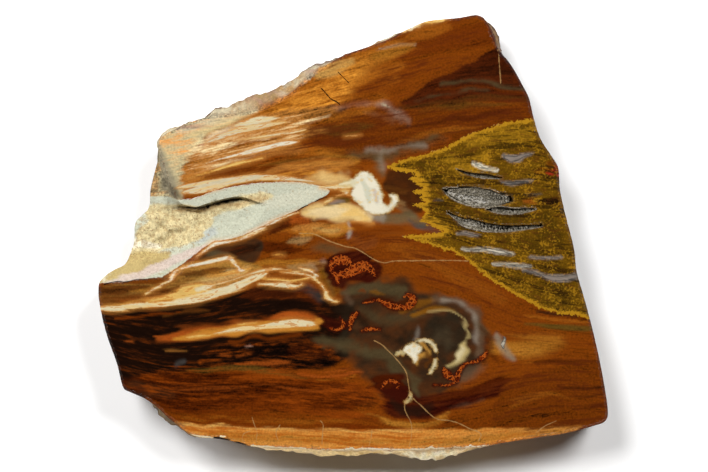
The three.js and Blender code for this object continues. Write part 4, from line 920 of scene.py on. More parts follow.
def spline(points, per_span, closed):
    """A centripetal Catmull-Rom curve through the points."""
    points = np.array(points, float)
    if closed:
        wide = np.vstack([points[-1:], points, points[:2]])
    else:
        wide = np.vstack([2 * points[0] - points[1], points, 2 * points[-1] - points[-2]])
    shares = np.linspace(0, 1, per_span, endpoint=False)[:, None]
    spans = []
    for k in range(len(wide) - 3):
        before, start, end, after = wide[k:k + 4]
        d0 = max(np.linalg.norm(start - before) ** 0.5, 1e-4)
        d1 = max(np.linalg.norm(end - start) ** 0.5, 1e-4)
        d2 = max(np.linalg.norm(after - end) ** 0.5, 1e-4)
        leave = ((start - before) / d0 - (end - before) / (d0 + d1) + (end - start) / d1) * d1
        arrive = ((end - start) / d1 - (after - start) / (d1 + d2) + (after - end) / d2) * d1
        square = -3 * start + 3 * end - 2 * leave - arrive
        cube = 2 * start - 2 * end + leave + arrive
        spans.append(start + leave * shares + square * shares**2 + cube * shares**3)
    if not closed:
        spans.append(points[-1:])
    return np.vstack(spans)


def evenly(line, step, closed):
    """The same line with its points an even step apart."""
    whole = np.vstack([line, line[:1]]) if closed else line
    runs = np.linalg.norm(np.diff(whole, axis=0), axis=1)
    lengths = np.concatenate([[0], np.cumsum(runs)])
    count = max(2, round(lengths[-1] / step))
    places = np.linspace(0, lengths[-1], count + 1)
    if closed:
        places = places[:-1]
    return np.column_stack([np.interp(places, lengths, column) for column in whole.T])


def depth_inside(at, outline):
    """How far each place lies inside a closed outline. It is negative outside."""
    gap = np.full(len(at), np.inf)
    within = np.zeros(len(at), bool)
    for a, b in zip(outline, np.roll(outline, -1, axis=0)):
        run = b - a
        along = clamp01((at - a) @ run / max(run @ run, 1e-9))
        gap = np.minimum(gap, np.hypot(*(at - a - along[:, None] * run).T))
        if a[1] != b[1]:
            crossing = (a[1] > at[:, 1]) != (b[1] > at[:, 1])
            within ^= crossing & (at[:, 0] < a[0] + run[0] * (at[:, 1] - a[1]) / run[1])
    return np.where(within, gap, -gap)


def headings(line):
    """The direction along a line at each of its points."""
    ahead = np.gradient(line[:, :2], axis=0)
    return ahead / np.linalg.norm(ahead, axis=1)[:, None]


def loop_headings(loop):
    """The direction along a closed line at each of its points, taken over a few points to either side."""
    ahead = np.roll(loop, -3, 0) - np.roll(loop, 3, 0)
    return ahead / np.linalg.norm(ahead, axis=1)[:, None]


def rightward(heading):
    """The directions a quarter turn to the right of others."""
    return np.column_stack([heading[:, 1], -heading[:, 0]])


def near_line(at, line, margin):
    """Which places lie in a line's box with a margin round it."""
    low = line[:, :2].min(0) - margin
    high = line[:, :2].max(0) + margin
    return np.flatnonzero(((at > low) & (at < high)).all(1))


def nearest_width(at, line):
    """How far each place is from the nearest part of a band's middle line, and half the width there."""
    best = np.full(len(at), -np.inf)
    gap = np.zeros(len(at))
    half = np.zeros(len(at))
    for a, b in zip(line, line[1:]):
        run = b[:2] - a[:2]
        along = clamp01((at - a[:2]) @ run / max(run @ run, 1e-9))
        away = np.hypot(*(at - a[:2] - along[:, None] * run).T)
        wide = a[2] + (b[2] - a[2]) * along
        closer = wide - away > best
        best = np.where(closer, wide - away, best)
        gap = np.where(closer, away, gap)
        half = np.where(closer, wide, half)
    return gap, half


def shape_of(points):
    """A stroke's outline or middle line in millimetres, and whether it is closed."""
    closed = len(points[0]) == 2
    return spline(to_mm(points), SMOOTH_PER_SPAN, closed), closed


def reach(at, points, room, straight=False):
    """The places near a stroke, and how far inside it each of them lies."""
    if straight:
        line = to_mm(points)
        closed = True
    else:
        line, closed = shape_of(points)
    near = near_line(at, line, room if closed else room + line[:, 2].max())
    if closed:
        return near, depth_inside(at[near], line)
    gap, half = nearest_width(at[near], line)
    return near, half - gap


# The grain of the wood


def net_basis(u):
    """Cubic net weights and their slopes at a place along one axis."""
    f = u - np.floor(u)
    values = [(1 - f) ** 3, 3 * f**3 - 6 * f**2 + 4, -3 * f**3 + 3 * f**2 + 3 * f + 1, f**3]
    slopes = [-((1 - f) ** 2), 3 * f**2 - 4 * f, -3 * f**2 + 2 * f + 1, f**2]
    return np.floor(u).astype(int), np.stack(values, -1) / 6, np.stack(slopes, -1) / 2


class Grain:
    """How far across the grain a place lies, in millimetres, from a smooth net fitted to the grain lines.

    The fit weighs how closely it follows the lines, how evenly it counts across them and how stiff it is.
    """

    FOLLOW = 4.0
    SPACING = 0.5
    STIFFNESS = 0.35
    SAMPLE_STEP = 3.0

    def __init__(self, low, high):
        self.low = np.array(low) - 2 * GRAIN_NET
        self.columns, self.rows = np.ceil((np.array(high) - self.low) / GRAIN_NET).astype(int) + 4
        size = self.columns * self.rows
        system = np.zeros((size, size))
        wanted = np.zeros(size)
        for points in GRAIN_LINES:
            line = evenly(spline(to_mm(points), SMOOTH_PER_SPAN, False), self.SAMPLE_STEP, False)
            for place, (dx, dy) in zip(line, headings(line)):
                cells, vx, sx, vy, sy = self.cells(place[None])
                slope_x = np.outer(vy[0], sx[0])
                slope_y = np.outer(sy[0], vx[0])
                along = (dx * slope_x + dy * slope_y).ravel() / GRAIN_NET
                across = (-dy * slope_x + dx * slope_y).ravel() / GRAIN_NET
                at = cells[0].ravel()
                system[np.ix_(at, at)] += self.FOLLOW * np.outer(along, along)
                system[np.ix_(at, at)] += self.SPACING * np.outer(across, across)
                wanted[at] += self.SPACING * across
        index = np.arange(size).reshape(self.rows, self.columns)
        bends = [(index[:, :-2], index[:, 1:-1], index[:, 2:]), (index[:-2], index[1:-1], index[2:])]
        for first, middle, last in bends:
            trio = np.stack([first.ravel(), middle.ravel(), last.ravel()], 1)
            for a, wa in enumerate((1, -2, 1)):
                for b, wb in enumerate((1, -2, 1)):
                    np.add.at(system, (trio[:, a], trio[:, b]), self.STIFFNESS * wa * wb / GRAIN_NET**2)
        system += np.eye(size) * 1e-6
        self.net = np.linalg.solve(system, wanted)

    def cells(self, at):
        """The net's sixteen points round each place, with their weights and slopes both ways."""
        i, vx, sx = net_basis((at[:, 0] - self.low[0]) / GRAIN_NET)
        j, vy, sy = net_basis((at[:, 1] - self.low[1]) / GRAIN_NET)
        four = np.arange(4)
        columns = i[:, None] + four
        rows = j[:, None] + four
        return rows[:, :, None] * self.columns + columns[:, None, :], vx, sx, vy, sy

    def __call__(self, at):
        cells, vx, _, vy, _ = self.cells(at)
        return np.einsum("nij,ni,nj->n", self.net[cells], vy, vx)


# The pattern in the stone


class Pattern:
    """The stone's colours and inlays at places on the face."""

    def __init__(self, at, grain):
        self.at = at
        self.across = grain(at)
        x, y = at.T
        wander = np.column_stack([lumps(x / 5, y / 5), lumps(x / 5 + 50, y / 5)])
        self.streak = 0.6 * lumps(x / 14, self.across / 1.2) + 0.4 * lumps(x / 6 + 9, self.across / 0.6)
        self.drawn_out = at + np.column_stack([self.streak * FINGERS, x * 0])
        self.wandered = self.drawn_out + wander * FIELD_WANDER
        self.cloud = lumps(x / 3 + 20, y / 2.2) * 0.6 + lumps(x / 1.3 + 7, y / 1.1) * 0.4
        self.soft = at + wander * CLOUD_WANDER
        self.clear = np.zeros(len(at))
        self.ground = np.tile((*linear("russet"), 1.0), (len(at), 1))
        self.vein = np.tile((*linear("umber"), 0.4), (len(at), 1))
        self.inlay = np.tile((*linear("cream"), 1.0), (len(at), 1))
        self.paint(self.ground, FIELDS)
        self.paint(self.inlay, INLAYS)
        self.paint_veins()
        self.cream = self.field(CREAM, at=at + (self.drawn_out - at) * 0.6)
        self.white = self.field(WHITE)
        self.glass = self.field(GLASS, at=at + (self.drawn_out - at) * 0.5)
        self.ember = self.field(EMBERS)
        self.mustard = self.field(MUSTARD, straight=True)
        self.clay = self.field(CLAY, straight=True)
        self.druse = self.field(DRUSE)
        self.light_crack = np.maximum(self.field(as_bands(LIGHT_CRACKS)), self.field(as_bands(SEPTA)))
        self.dark_crack = self.field(as_bands(DARK_CRACKS))

    def paint(self, colours, strokes):
        """Paints soft strokes: glassy ones as clouds, and the rest with edges that follow the grain."""
        for _, colour, softness, strength, points in strokes:
            soft = softness * PIXEL
            glassy = colour in GLASSY
            near, depth = reach(self.soft if glassy else self.wandered, points, soft * 2.4)
            if glassy:
                cloud = self.cloud[near]
                inside = ease(clamp01(0.5 + depth / soft / 1.5 + 0.35 * cloud))
                share = strength * (0.85 + 0.15 * cloud) * inside
            else:
                share = strength * ease(clamp01(0.5 + depth / soft + 0.5 * self.streak[near]))
            colours[near] += ((*linear(colour), 1.0) - colours[near]) * share[:, None]
            if colours is self.ground:
                self.clear[near] += (glassy - self.clear[near]) * share

    def paint_veins(self):
        """Paints the veins' colours, with how much they take in the last channel. Glassy parts have few."""
        for _, colour, softness, strength, points in VEINS:
            near, depth = reach(self.at, points, softness * PIXEL)
            share = ease(clamp01(0.5 + depth / (softness * PIXEL)))
            self.vein[near] += ((*linear(colour), strength) - self.vein[near]) * share[:, None]
        self.vein[:, 3] *= 1 - 0.85 * self.clear

    def field(self, strokes, straight=False, at=None):
        """How far inside the nearest of these strokes each place lies, in millimetres, and -FAR far outside.

        Strokes that have a colour also tint the inlays there.
        """
        at = self.at if at is None else at
        value = np.full(len(at), -FAR)
        for stroke in strokes:
            near, depth = reach(at, stroke[-1], FAR, straight)
            if len(stroke) == 3 and isinstance(stroke[1], str):
                tint = ease(clamp01(0.5 + (depth + 0.35) / 0.5))[:, None]
                self.inlay[near] += ((*linear(stroke[1]), 1.0) - self.inlay[near]) * tint
            value[near] = np.maximum(value[near], depth)
        return np.clip(value, -FAR, FAR)


# The shape of the stone


def sandiness(at):
    """1 in the sandy part of the hollow and 0 outside it."""
    near, depth = reach(at, SAND_POCKET, 2.0)
    share = np.zeros(len(at))
    share[near] = clamp01(0.6 + depth * 0.5)
    return share


def stone_depth(at):
    """How deep the hollow lies below the polished face. It is 0 outside the hollow."""
    u = at[:, 0] + OUTLINE_MIDDLE[0]
    v = at[:, 1] + OUTLINE_MIDDLE[1]
    own = np.column_stack([u, v])
    slope = depth_inside(own, np.array(HOLLOW_SLOPE, float)) / SLOPE_RUN
    floor = FLOOR_DEPTH + np.maximum(0, FLOOR_FALL_FROM - u) * FLOOR_FALL
    coarse = 1 + 1.2 * sandiness(at)
    grit = (lumps(u / 2.4, v / 2.4) * 0.5 + lumps(u / 0.9, v / 0.9) * 0.2) * coarse
    floor_depth = floor * np.sqrt(clamp01(slope)) + grit * clamp01(slope * 3)
    wall = depth_inside(own, spline(HOLLOW_WALL, 5, True))
    flutes = 0.35 * lumps(u / 1.1, v / 3.5) * clamp01(wall)
    wall_depth = np.interp(wall + flutes, WALL_PLACES, WALL_DEPTHS)
    return np.maximum(0, np.minimum(floor_depth, wall_depth))


def slit_line(stations, steps=6):
    """The smooth middle line of a slit, with half its width."""
    line = spline(stations, steps, False)
    line[:, :2] -= OUTLINE_MIDDLE
    return line


def cut_depth(at):
    """How deep the slits are cut below the face."""
    deepest = np.zeros(len(at))
    for depth, stations in SLITS.values():
        line = slit_line(stations)
        near = near_line(at, line, SLIT_ROOM)
        gap, half = nearest_width(at[near], line)
        across = clamp01(1 - (gap / np.maximum(half, 0.05)) ** 2)
        deepest[near] = np.maximum(deepest[near], depth * np.sqrt(np.minimum(1, across / SLIT_ROUND)))
    return deepest


def crevice_depth(at):
    """How deep the jagged crevice below the hollow's shelf is cut."""
    near, depth = reach(at, CREVICE, 1.0)
    jagged = 0.3 * lumps(at[near, 0] / 0.9, at[near, 1] / 0.9)
    deeper = np.zeros(len(at))
    deeper[near] = CREVICE_DEPTH * np.sqrt(clamp01((depth + jagged) / 0.5))
    return deeper


def outline_ring(line, inset):
    """The closed outline of a band with both sides moved in by a share of its width."""
    aside = rightward(headings(line)) * (line[:, 2] * inset)[:, None]
    return np.vstack([line[:, :2] + aside, (line[:, :2] - aside)[::-1]])


def stands_out(along, flare, down):
    """How far the side stands out from the rim, at a share of the way down from the face to the back."""
    swell = np.where(down < WIDEST_AT, np.sin(clamp01(down / WIDEST_AT) * math.pi / 2), 1)
    undercut = BACK_INSET * ease(clamp01((down - WIDEST_AT) / (1 - WIDEST_AT)))
    ruggedness = clamp01(0.35 + flare) * clamp01(down * 6)
    ridges = lumps(along / 5.2, down * 1.5) * 0.7
    knobs = lumps(along / 9 + 40, down * 4) * 0.6
    ledges = np.round(lumps(along / 13 + 90, down * 3) * 2) * 0.4
    fibres = lumps(along / 1.5 + 7, down * 2.2) * 0.28 + lumps(along / 0.8 + 3, down * 5) * 0.12
    crumbs = lumps(along / 1.1, down * 24) * 0.14
    rough = (ridges + knobs + ledges - 0.7) * ruggedness
    return flare * swell - undercut + rough + (fibres + crumbs - 0.1) * clamp01(down * 12)


def rim_line(step):
    """Points round the rim: place, outward direction, flare and distance along it."""
    line = evenly(spline(RIM, 10, True), step, True)
    place = line[:, :2] - OUTLINE_MIDDLE
    return place, rightward(loop_headings(place)), line[:, 2], np.arange(len(line)) * step


def side_rings(step, rings, rounding):
    """The rim's places, rings of points from the face's edge down to the back's, and the points' depths."""
    place, outward, flare, along = rim_line(step)
    top = FACE - stone_depth(place - outward * rounding)
    dents = clamp01(lumps(along / 2.6, along * 0))
    chips = clamp01(lumps(along / 1.7 + 5, along * 0) * 3 - 2)
    worn = rounding * (0.75 + 0.5 * dents + 1.6 * chips)
    rows = []
    depths = []
    for angle in ROUNDING_ANGLES:
        z = top - worn * (1 - math.cos(angle))
        out = -worn * (1 - math.sin(angle))
        rows.append((out, z))
    start = top - worn
    for k in range(1, rings + 1):
        z = blend(start, BACK, k / rings)
        down = (FACE - z) / THICKNESS
        rows.append((stands_out(along, flare, down) * clamp01(k / 2), z))
    points = []
    for out, z in rows:
        points.append(np.column_stack([place + outward * out[:, None], z]))
        depths.append(top - z)
    return place, np.array(points), np.array(depths)


def hexagon_net(low, high, step):
    """Places in a net of even triangles."""
    rise = step * math.sqrt(3) / 2
    rows = int((high[1] - low[1]) / rise) + 1
    columns = int((high[0] - low[0]) / step) + 2
    i, j = np.meshgrid(np.arange(columns), np.arange(rows))
    x = low[0] + (i + 0.5 * (j % 2)) * step
    y = low[1] + j * rise
    return np.column_stack([x.ravel(), y.ravel()])


def joined(loop, free, lines):
    """Triangles over everything inside a closed loop, with edges along the lines."""
    vertices = [Vector(p) for p in loop.tolist()]
    edges = [(k, (k + 1) % len(loop)) for k in range(len(loop))]
    for line in lines:
        first = len(vertices)
        vertices += [Vector(p) for p in line.tolist()]
        edges += [(first + k, first + k + 1) for k in range(len(line) - 1)]
    vertices += [Vector(p) for p in free.tolist()]
    places, _, faces, origins, _, _ = delaunay_2d_cdt(vertices, edges, [], 0, MERGE_GAP, True)
    places = np.array([p[:] for p in places])
    faces = np.array(faces)
    on_loop = np.full(len(places), -1)
    for k, sources in enumerate(origins):
        if sources and sources[0] < len(loop):
            on_loop[k] = sources[0]
    outer = (on_loop[faces] >= 0).all(1)
    middles = places[faces[outer]].mean(1)
    keep = np.ones(len(faces), bool)
    keep[np.flatnonzero(outer)] = depth_inside(middles, loop) > 0
    return places, faces[keep], on_loop


def thin_lines(outline, step):
    """The middle lines of the thin bands and the outlines of the slits, kept where they are well inside."""
    lines = []
    cracks = as_bands(LIGHT_CRACKS + SEPTA + DARK_CRACKS)
    for stroke in CREAM + GLASS + DRUSE + EMBERS + WHITE + cracks:
        line, closed = shape_of(stroke[-1])
        if not closed:
            lines.append(evenly(line, step, False)[:, :2])
    lines.append(evenly(shape_of(CREVICE)[0], step, False)[:, :2])
    for _, stations in SLITS.values():
        for inset in SLIT_OUTLINES:
            ring = evenly(outline_ring(slit_line(stations), inset), step, True)
            lines.append(np.vstack([ring, ring[:1]]))
    lines.append(evenly(spline(HOLLOW_WALL, 5, True), step, True) - OUTLINE_MIDDLE)
    kept = []
    for line in lines:
        within = depth_inside(line, outline) > LINE_ROOM
        cuts = np.flatnonzero(np.diff(within.astype(int))) + 1
        for part, good in zip(np.split(line, cuts), np.split(within, cuts)):
            if good[0] and len(part) > 1:
                kept.append(part)
    return kept


def away_from(places, lines, gap):
    """The places in those cells of a square grid, a gap wide, that have no point of a line in them."""
    taken = set()
    for line in lines:
        for x, y in np.floor(line / gap).astype(int).tolist():
            taken.add((x, y))
    cells = np.floor(places / gap).astype(int).tolist()
    return places[[(x, y) not in taken for x, y in cells]]


def rind_colours(place, depths, step):
    """The rind's colours down the sides, from the places round the rim.

    Painted light makes them lighter where a side faces away from the keys.
    They go over into brown low down.
    """
    spots = to_mm([(x, y) for x, y, _, _ in RIND])
    main = np.array([linear(name) for _, _, name, _ in RIND])
    second = np.array([linear(name) for _, _, _, name in RIND])
    weight = 1 / (np.linalg.norm(place[:, None] - spots[None], axis=2) + 0.5) ** 4
    weight /= weight.sum(1)[:, None]
    along = np.arange(len(place)) * step
    towards_keys = -loop_headings(place)[:, 0]
    # Painted light and shade: sides facing away from the keys are lightened, and those facing them a little
    # darkened
    painted_light = np.interp(towards_keys, (-1, 0, 1), PAINTED_LIGHT_BY_SIDE)[:, None]
    colours = []
    for depth in depths:
        patches = lumps(along / 2.6, depth / 3.2)
        specks = 0.6 * lumps(along / 0.8, depth / 2.4 + 3)
        mottle = ease(clamp01(0.5 + patches + specks))
        colour = blend(weight @ main, weight @ second, (mottle * MOTTLING)[:, None])
        low = np.interp(depth + 2 * mottle, (BROWN_FROM, BROWN_BELOW), (0, BROWNING))[:, None]
        colours.append(blend(np.minimum(colour * painted_light, BRIGHTEST), linear("umber"), low))
    return np.array(colours)


def slice_mesh(name, face_step, side_step, rings, rounding):
    """The stone in one closed mesh, with its pattern kept as attributes."""
    place, points, depths = side_rings(side_step, rings, rounding)
    rows, columns = points.shape[:2]
    loop = points[0, :, :2]
    foot = points[-1, :, :2]
    grain = Grain(loop.min(0), loop.max(0))
    lines = thin_lines(loop, face_step)
    net = hexagon_net(loop.min(0), loop.max(0), face_step)
    net = net[depth_inside(net, loop) > face_step * RIM_GAP]
    top, top_faces, top_origin = joined(loop, away_from(net, lines, face_step * LINE_GAP), lines)
    back_net = hexagon_net(foot.min(0), foot.max(0), BACK_STEP)
    back_net = back_net[depth_inside(back_net, foot) > BACK_STEP * BACK_GAP]
    back, back_faces, back_origin = joined(foot, back_net, [])

    side = points.reshape(-1, 3)
    hollow = stone_depth(top)
    cuts = cut_depth(top)
    crevice = crevice_depth(top)
    free_top = np.flatnonzero(top_origin < 0)
    top_index = top_origin.copy()
    top_index[free_top] = len(side) + np.arange(len(free_top))
    free_back = np.flatnonzero(back_origin < 0)
    back_index = back_origin + (rows - 1) * columns
    back_index[free_back] = len(side) + len(free_top) + np.arange(len(free_back))
    top_points = np.column_stack([top, FACE - np.maximum(hollow, cuts) - crevice])[free_top]
    back_points = np.column_stack([back, np.full(len(back), BACK)])[free_back]
    everything = np.vstack([side, top_points, back_points])

    k = np.arange(columns)
    after = (k + 1) % columns
    quads = []
    for row in range(rows - 1):
        above = row * columns
        below = above + columns
        quads.append(np.column_stack([above + k, below + k, below + after, above + after]))
    faces = np.vstack(quads).tolist()
    faces += top_index[top_faces].tolist()
    faces += back_index[back_faces][:, ::-1].tolist()
    mesh = bpy.data.meshes.new(name)
    mesh.from_pydata((everything * MM).tolist(), [], faces)
    mesh.shade_smooth()
    mesh.set_sharp_from_angle(angle=SHARP_ANGLE)

    on_rim = Pattern(place, grain)
    on_top = Pattern(top[free_top], grain)
    on_back = Pattern(back[free_back], grain)
    ragged = RIND_RAGGED * lumps(np.arange(columns) * side_step / 2.2, depths / 4)
    rind = clamp01((depths - RIND_START + ragged) / RIND_FADE).reshape(-1)

    def spread(name_of, worn_away=RIND_WEAR):
        around = np.tile(getattr(on_rim, name_of), rows) - rind * worn_away
        return np.concatenate([around, getattr(on_top, name_of), getattr(on_back, name_of)])

    def three(first, second, third):
        return np.clip(np.column_stack([first, second, third]), -FAR, FAR).ravel()

    def store(attribute, kind, values):
        layer = mesh.attributes.new(attribute, kind, "POINT")
        keys = {"FLOAT": "value", "FLOAT_COLOR": "color", "FLOAT_VECTOR": "vector"}
        layer.data.foreach_set(keys[kind], values)

    colours = rind_colours(place, depths, side_step).reshape(-1, 3)
    colours = np.hstack([colours, np.ones((len(colours), 1))])
    # Painted shade: the rounded rim and the sides below the face's edge are made darker
    rim_with_painted_shade = np.tile(on_rim.ground, (rows, 1))
    rim_with_painted_shade[columns:, :3] *= RIM_SHADE
    ground = blend(rim_with_painted_shade, colours, rind[:, None])
    in_cuts = ((cuts + hollow)[free_top] - CUT_START) * CUT_SHARPNESS
    unpolished = np.concatenate([
        clamp01(depths.reshape(-1) / POLISH_DEPTH) * 2 * FAR - FAR,
        np.maximum(np.maximum(on_top.clay, in_cuts), -FAR),
        np.full(len(free_back), FAR),
    ])
    unpolished[:len(side)] = np.maximum(unpolished[:len(side)], np.tile(on_rim.clay, rows))
    upright = np.empty(len(everything) * 3)
    mesh.vertex_normals.foreach_get("vector", upright)
    unpolished = np.maximum(unpolished, (STEEP - upright[2::3]) * STEEP_SHARPNESS)
    store("ground", "FLOAT_COLOR", np.vstack([ground, on_top.ground, on_back.ground]).ravel())
    for name_of in ("vein", "inlay"):
        around = np.tile(getattr(on_rim, name_of), (rows, 1))
        colours = np.vstack([around, getattr(on_top, name_of), getattr(on_back, name_of)])
        store(name_of, "FLOAT_COLOR", colours.ravel())
    store("across", "FLOAT", spread("across", 0))
    store("druse", "FLOAT", np.clip(spread("druse"), -FAR, FAR))
    store("bands", "FLOAT_VECTOR", three(spread("cream"), spread("white"), spread("mustard")))
    store("glassy", "FLOAT_VECTOR", three(spread("clay", 0), spread("glass"), spread("ember")))
    store("cracks", "FLOAT_VECTOR", three(spread("light_crack"), spread("dark_crack"), unpolished))
    rind_share = np.concatenate([rind, np.zeros(len(free_top) + len(free_back))])
    store("rind", "FLOAT", rind_share)
    store("sandy", "FLOAT", sandiness(everything[:, :2]))
    return mesh


# Materials


class Nodes:
    """Short ways to add nodes to a tree."""

    def __init__(self, tree):
        self.tree = tree

    def add(self, kind, sockets=(), **settings):
        """A new node with these settings, and with a link or a value in each of these sockets."""
        node = self.tree.nodes.new(kind)
        for key, value in settings.items():
            setattr(node, key, value)
        for key, value in dict(sockets).items():
            if isinstance(value, bpy.types.NodeSocket):
                self.tree.links.new(value, node.inputs[key])
            else:
                node.inputs[key].default_value = value
        return node

    def calc(self, operation, *values):
        """A sum, a product or the like of values and links."""
        return self.add("ShaderNodeMath", enumerate(values), operation=operation).outputs[0]

    def around(self, value, strength, base):
        """A base moved up and down as a value goes round 0.5."""
        return self.calc("MULTIPLY_ADD", self.calc("SUBTRACT", value, 0.5), strength, base)

    def ramp(self, value, low, high, to_low=0.0, to_high=1.0):
        """A value's way from low to high as a gentle step between two others."""
        sockets = {"Value": value, "From Min": low, "From Max": high, "To Min": to_low, "To Max": to_high}
        return self.add("ShaderNodeMapRange", sockets, interpolation_type="SMOOTHSTEP").outputs[0]

    def part(self, share, most):
        """A share of the most that there can be."""
        return self.calc("MULTIPLY", share, most)

    def mix(self, share, a, b):
        """Two colours blended. Either can be the name of one in the palette."""
        a, b = (paint_of(c) if isinstance(c, str) else c for c in (a, b))
        return self.add("ShaderNodeMix", {0: share, 6: a, 7: b}, data_type="RGBA").outputs[2]

    def shade(self, colour, by):
        """A colour made lighter or darker. It scales places too."""
        return self.add("ShaderNodeVectorMath", {0: colour, 3: by}, operation="SCALE").outputs[0]

    def noise(self, vector, scale, detail=2.0, roughness=0.6):
        """Cloudy values from 0 to 1."""
        sockets = {"Vector": vector, "Scale": scale, "Detail": detail, "Roughness": roughness}
        return self.add("ShaderNodeTexNoise", sockets).outputs["Fac"]

    def attribute(self, name):
        """What is stored on the mesh under this name."""
        return self.add("ShaderNodeAttribute", attribute_name=name).outputs

    def three(self, name):
        """The three values that are stored together under this name."""
        return self.add("ShaderNodeSeparateXYZ", {0: self.attribute(name)["Vector"]}).outputs

    def group(self, tree, sockets):
        """The first output of a node group."""
        return self.add("ShaderNodeGroup", sockets, node_tree=tree).outputs[0]

    def place_in_mm(self):
        """The place on the piece, in millimetres."""
        coordinates = self.add("ShaderNodeTexCoord").outputs["Object"]
        return self.shade(coordinates, 1 / MM)


def paint_of(name):
    """A colour of the palette as an opaque colour for a node."""
    return (*linear(name), 1.0)


def value_group(name, inputs, output):
    """An empty node group of plain numbers, with its inputs and the socket of its output."""
    tree = bpy.data.node_groups.new(name, "ShaderNodeTree")
    for key in inputs:
        tree.interface.new_socket(key, in_out="INPUT", socket_type="NodeSocketFloat")
    tree.interface.new_socket(output, in_out="OUTPUT", socket_type="NodeSocketFloat")
    given = tree.nodes.new("NodeGroupInput").outputs
    return Nodes(tree), given, tree.nodes.new("NodeGroupOutput").inputs[0]


def streak_group():
    """Streaks that follow the wood's grain, from 0 to 1."""
    nodes, given, result = value_group("Grain streaks", ("Length", "Width"), "Streak")
    parts = nodes.add("ShaderNodeSeparateXYZ", {0: nodes.place_in_mm()}).outputs
    across = nodes.attribute("across")["Fac"]
    along = nodes.calc("DIVIDE", parts[0], given["Length"])
    over = nodes.calc("DIVIDE", across, given["Width"])
    deep = nodes.calc("MULTIPLY", parts[2], 0.02)
    place = nodes.add("ShaderNodeCombineXYZ", {0: along, 1: over, 2: deep}).outputs[0]
    nodes.tree.links.new(nodes.noise(place, 1.0), result)
    return nodes.tree


def edge_group():
    """A mask with a crisp edge where a depth in millimetres passes 0, made ragged by another value."""
    nodes, given, result = value_group("Inlay edge", ("Depth", "Ragged", "By", "Softness"), "Mask")
    shifted = nodes.around(given["Ragged"], given["By"], given["Depth"])
    low = nodes.part(given["Softness"], -1.0)
    nodes.tree.links.new(nodes.ramp(shifted, low, given["Softness"]), result)
    return nodes.tree


class StoneNodes(Nodes):
    """What is painted on the stone's mesh, and the streaks and noises that its colours share."""

    def __init__(self, tree):
        super().__init__(tree)
        self.streak_tree = streak_group()
        self.edge_tree = edge_group()
        self.place = self.place_in_mm()
        self.ground = self.attribute("ground")["Color"]
        self.inlay = self.attribute("inlay")["Color"]
        self.vein = self.attribute("vein")
        self.cream, self.white, self.mustard = self.three("bands")
        self.clay, self.glass, self.ember = self.three("glassy")
        self.light_crack, self.dark_crack, self.unpolished = self.three("cracks")
        self.druse = self.attribute("druse")["Fac"]
        self.rind = self.attribute("rind")["Fac"]
        self.sandy = self.attribute("sandy")["Fac"]
        self.fine = self.streak(2.6, 0.7)
        self.middling = self.streak(12.0, 0.85)
        self.broad = self.streak(26.0, 2.4)
        self.fibre = self.calc("MULTIPLY_ADD", self.fine, 0.4, self.part(self.middling, 0.6))
        self.mottle = self.noise(self.place, 0.35, 4.0)
        self.crumb = self.noise(self.place, 0.8, 3.0)
        self.speckle = self.noise(self.place, 1.5, 3.0)
        self.dots = self.noise(self.place, 2.1)
        self.grit = self.add("ShaderNodeTexVoronoi", {"Vector": self.place, "Scale": 2.4}).outputs
        self.rough = self.edge(self.unpolished, self.speckle, 0.5)

    def streak(self, length, width):
        """Streaks along the grain, with their length and width in millimetres."""
        return self.group(self.streak_tree, {"Length": length, "Width": width})

    def edge(self, depth, ragged, by, softness=0.13):
        """A mask with a crisp edge, made ragged by a noise."""
        return self.group(self.edge_tree, {"Depth": depth, "Ragged": ragged, "By": by, "Softness": softness})


def wood_colour(nodes, streaks):
    """A ground colour with a second colour in streaks, and lighter and darker fibres."""
    fullness = nodes.vein["Alpha"]
    lines = nodes.calc("MULTIPLY_ADD", nodes.broad, 0.35, nodes.part(nodes.fibre, 0.65))
    lifted = nodes.calc("MULTIPLY_ADD", fullness, 0.2, nodes.calc("SUBTRACT", lines, 0.1))
    vein_share = nodes.ramp(fullness, 0.0, 0.4, 0.0, 0.9)
    vein_share = nodes.calc("MULTIPLY", nodes.ramp(lifted, 0.42, 0.62), vein_share)
    wood = nodes.mix(vein_share, nodes.ground, nodes.vein["Color"])
    force = nodes.ramp(fullness, 0.1, 0.5, 0.3 * streaks, streaks)
    variations = ((nodes.fine, 1.4), (nodes.middling, 1.5), (nodes.broad, 1.9), (nodes.speckle, 1.3))
    lightness = 1.0
    for variation, by in variations:
        lightness = nodes.around(variation, nodes.part(force, by), lightness)
    return nodes.shade(wood, nodes.calc("MAXIMUM", lightness, 0.12))


def with_broken_stone(nodes, wood):
    """Broken stone in the hollow's wall and in the slits."""
    broken = nodes.shade(wood, nodes.ramp(nodes.speckle, 0.35, 0.65, 0.65, 1.15))
    broken = nodes.mix(nodes.ramp(nodes.crumb, 0.54, 0.66, 0.0, 0.5), broken, "brown")
    return nodes.mix(nodes.rough, wood, broken)


def with_hollow_floor(nodes, wood):
    """Clay and sand on the hollow's floor."""
    grain_tone = nodes.add("ShaderNodeSeparateColor", {0: nodes.grit["Color"]}).outputs[0]
    contrast = nodes.ramp(nodes.sandy, 0.0, 1.0, 0.1, 0.26)
    lightness = nodes.around(grain_tone, contrast, nodes.ramp(nodes.sandy, 0.0, 1.0, 1.02, 1.12))
    floor = nodes.shade(nodes.inlay, lightness)
    floor = nodes.shade(floor, nodes.ramp(nodes.speckle, 0.3, 0.7, 0.9, 1.14))
    shaded = nodes.ramp(nodes.around(nodes.sandy, 0.14, nodes.crumb), 0.52, 0.7, 0.0, 0.5)
    floor = nodes.mix(shaded, floor, "sand_shade")
    dotted = nodes.ramp(nodes.around(nodes.sandy, 0.06, nodes.dots), 0.6, 0.7, 0.0, 0.6)
    floor = nodes.mix(dotted, floor, "brown")
    return nodes.mix(nodes.edge(nodes.clay, nodes.crumb, 0.8), wood, floor)


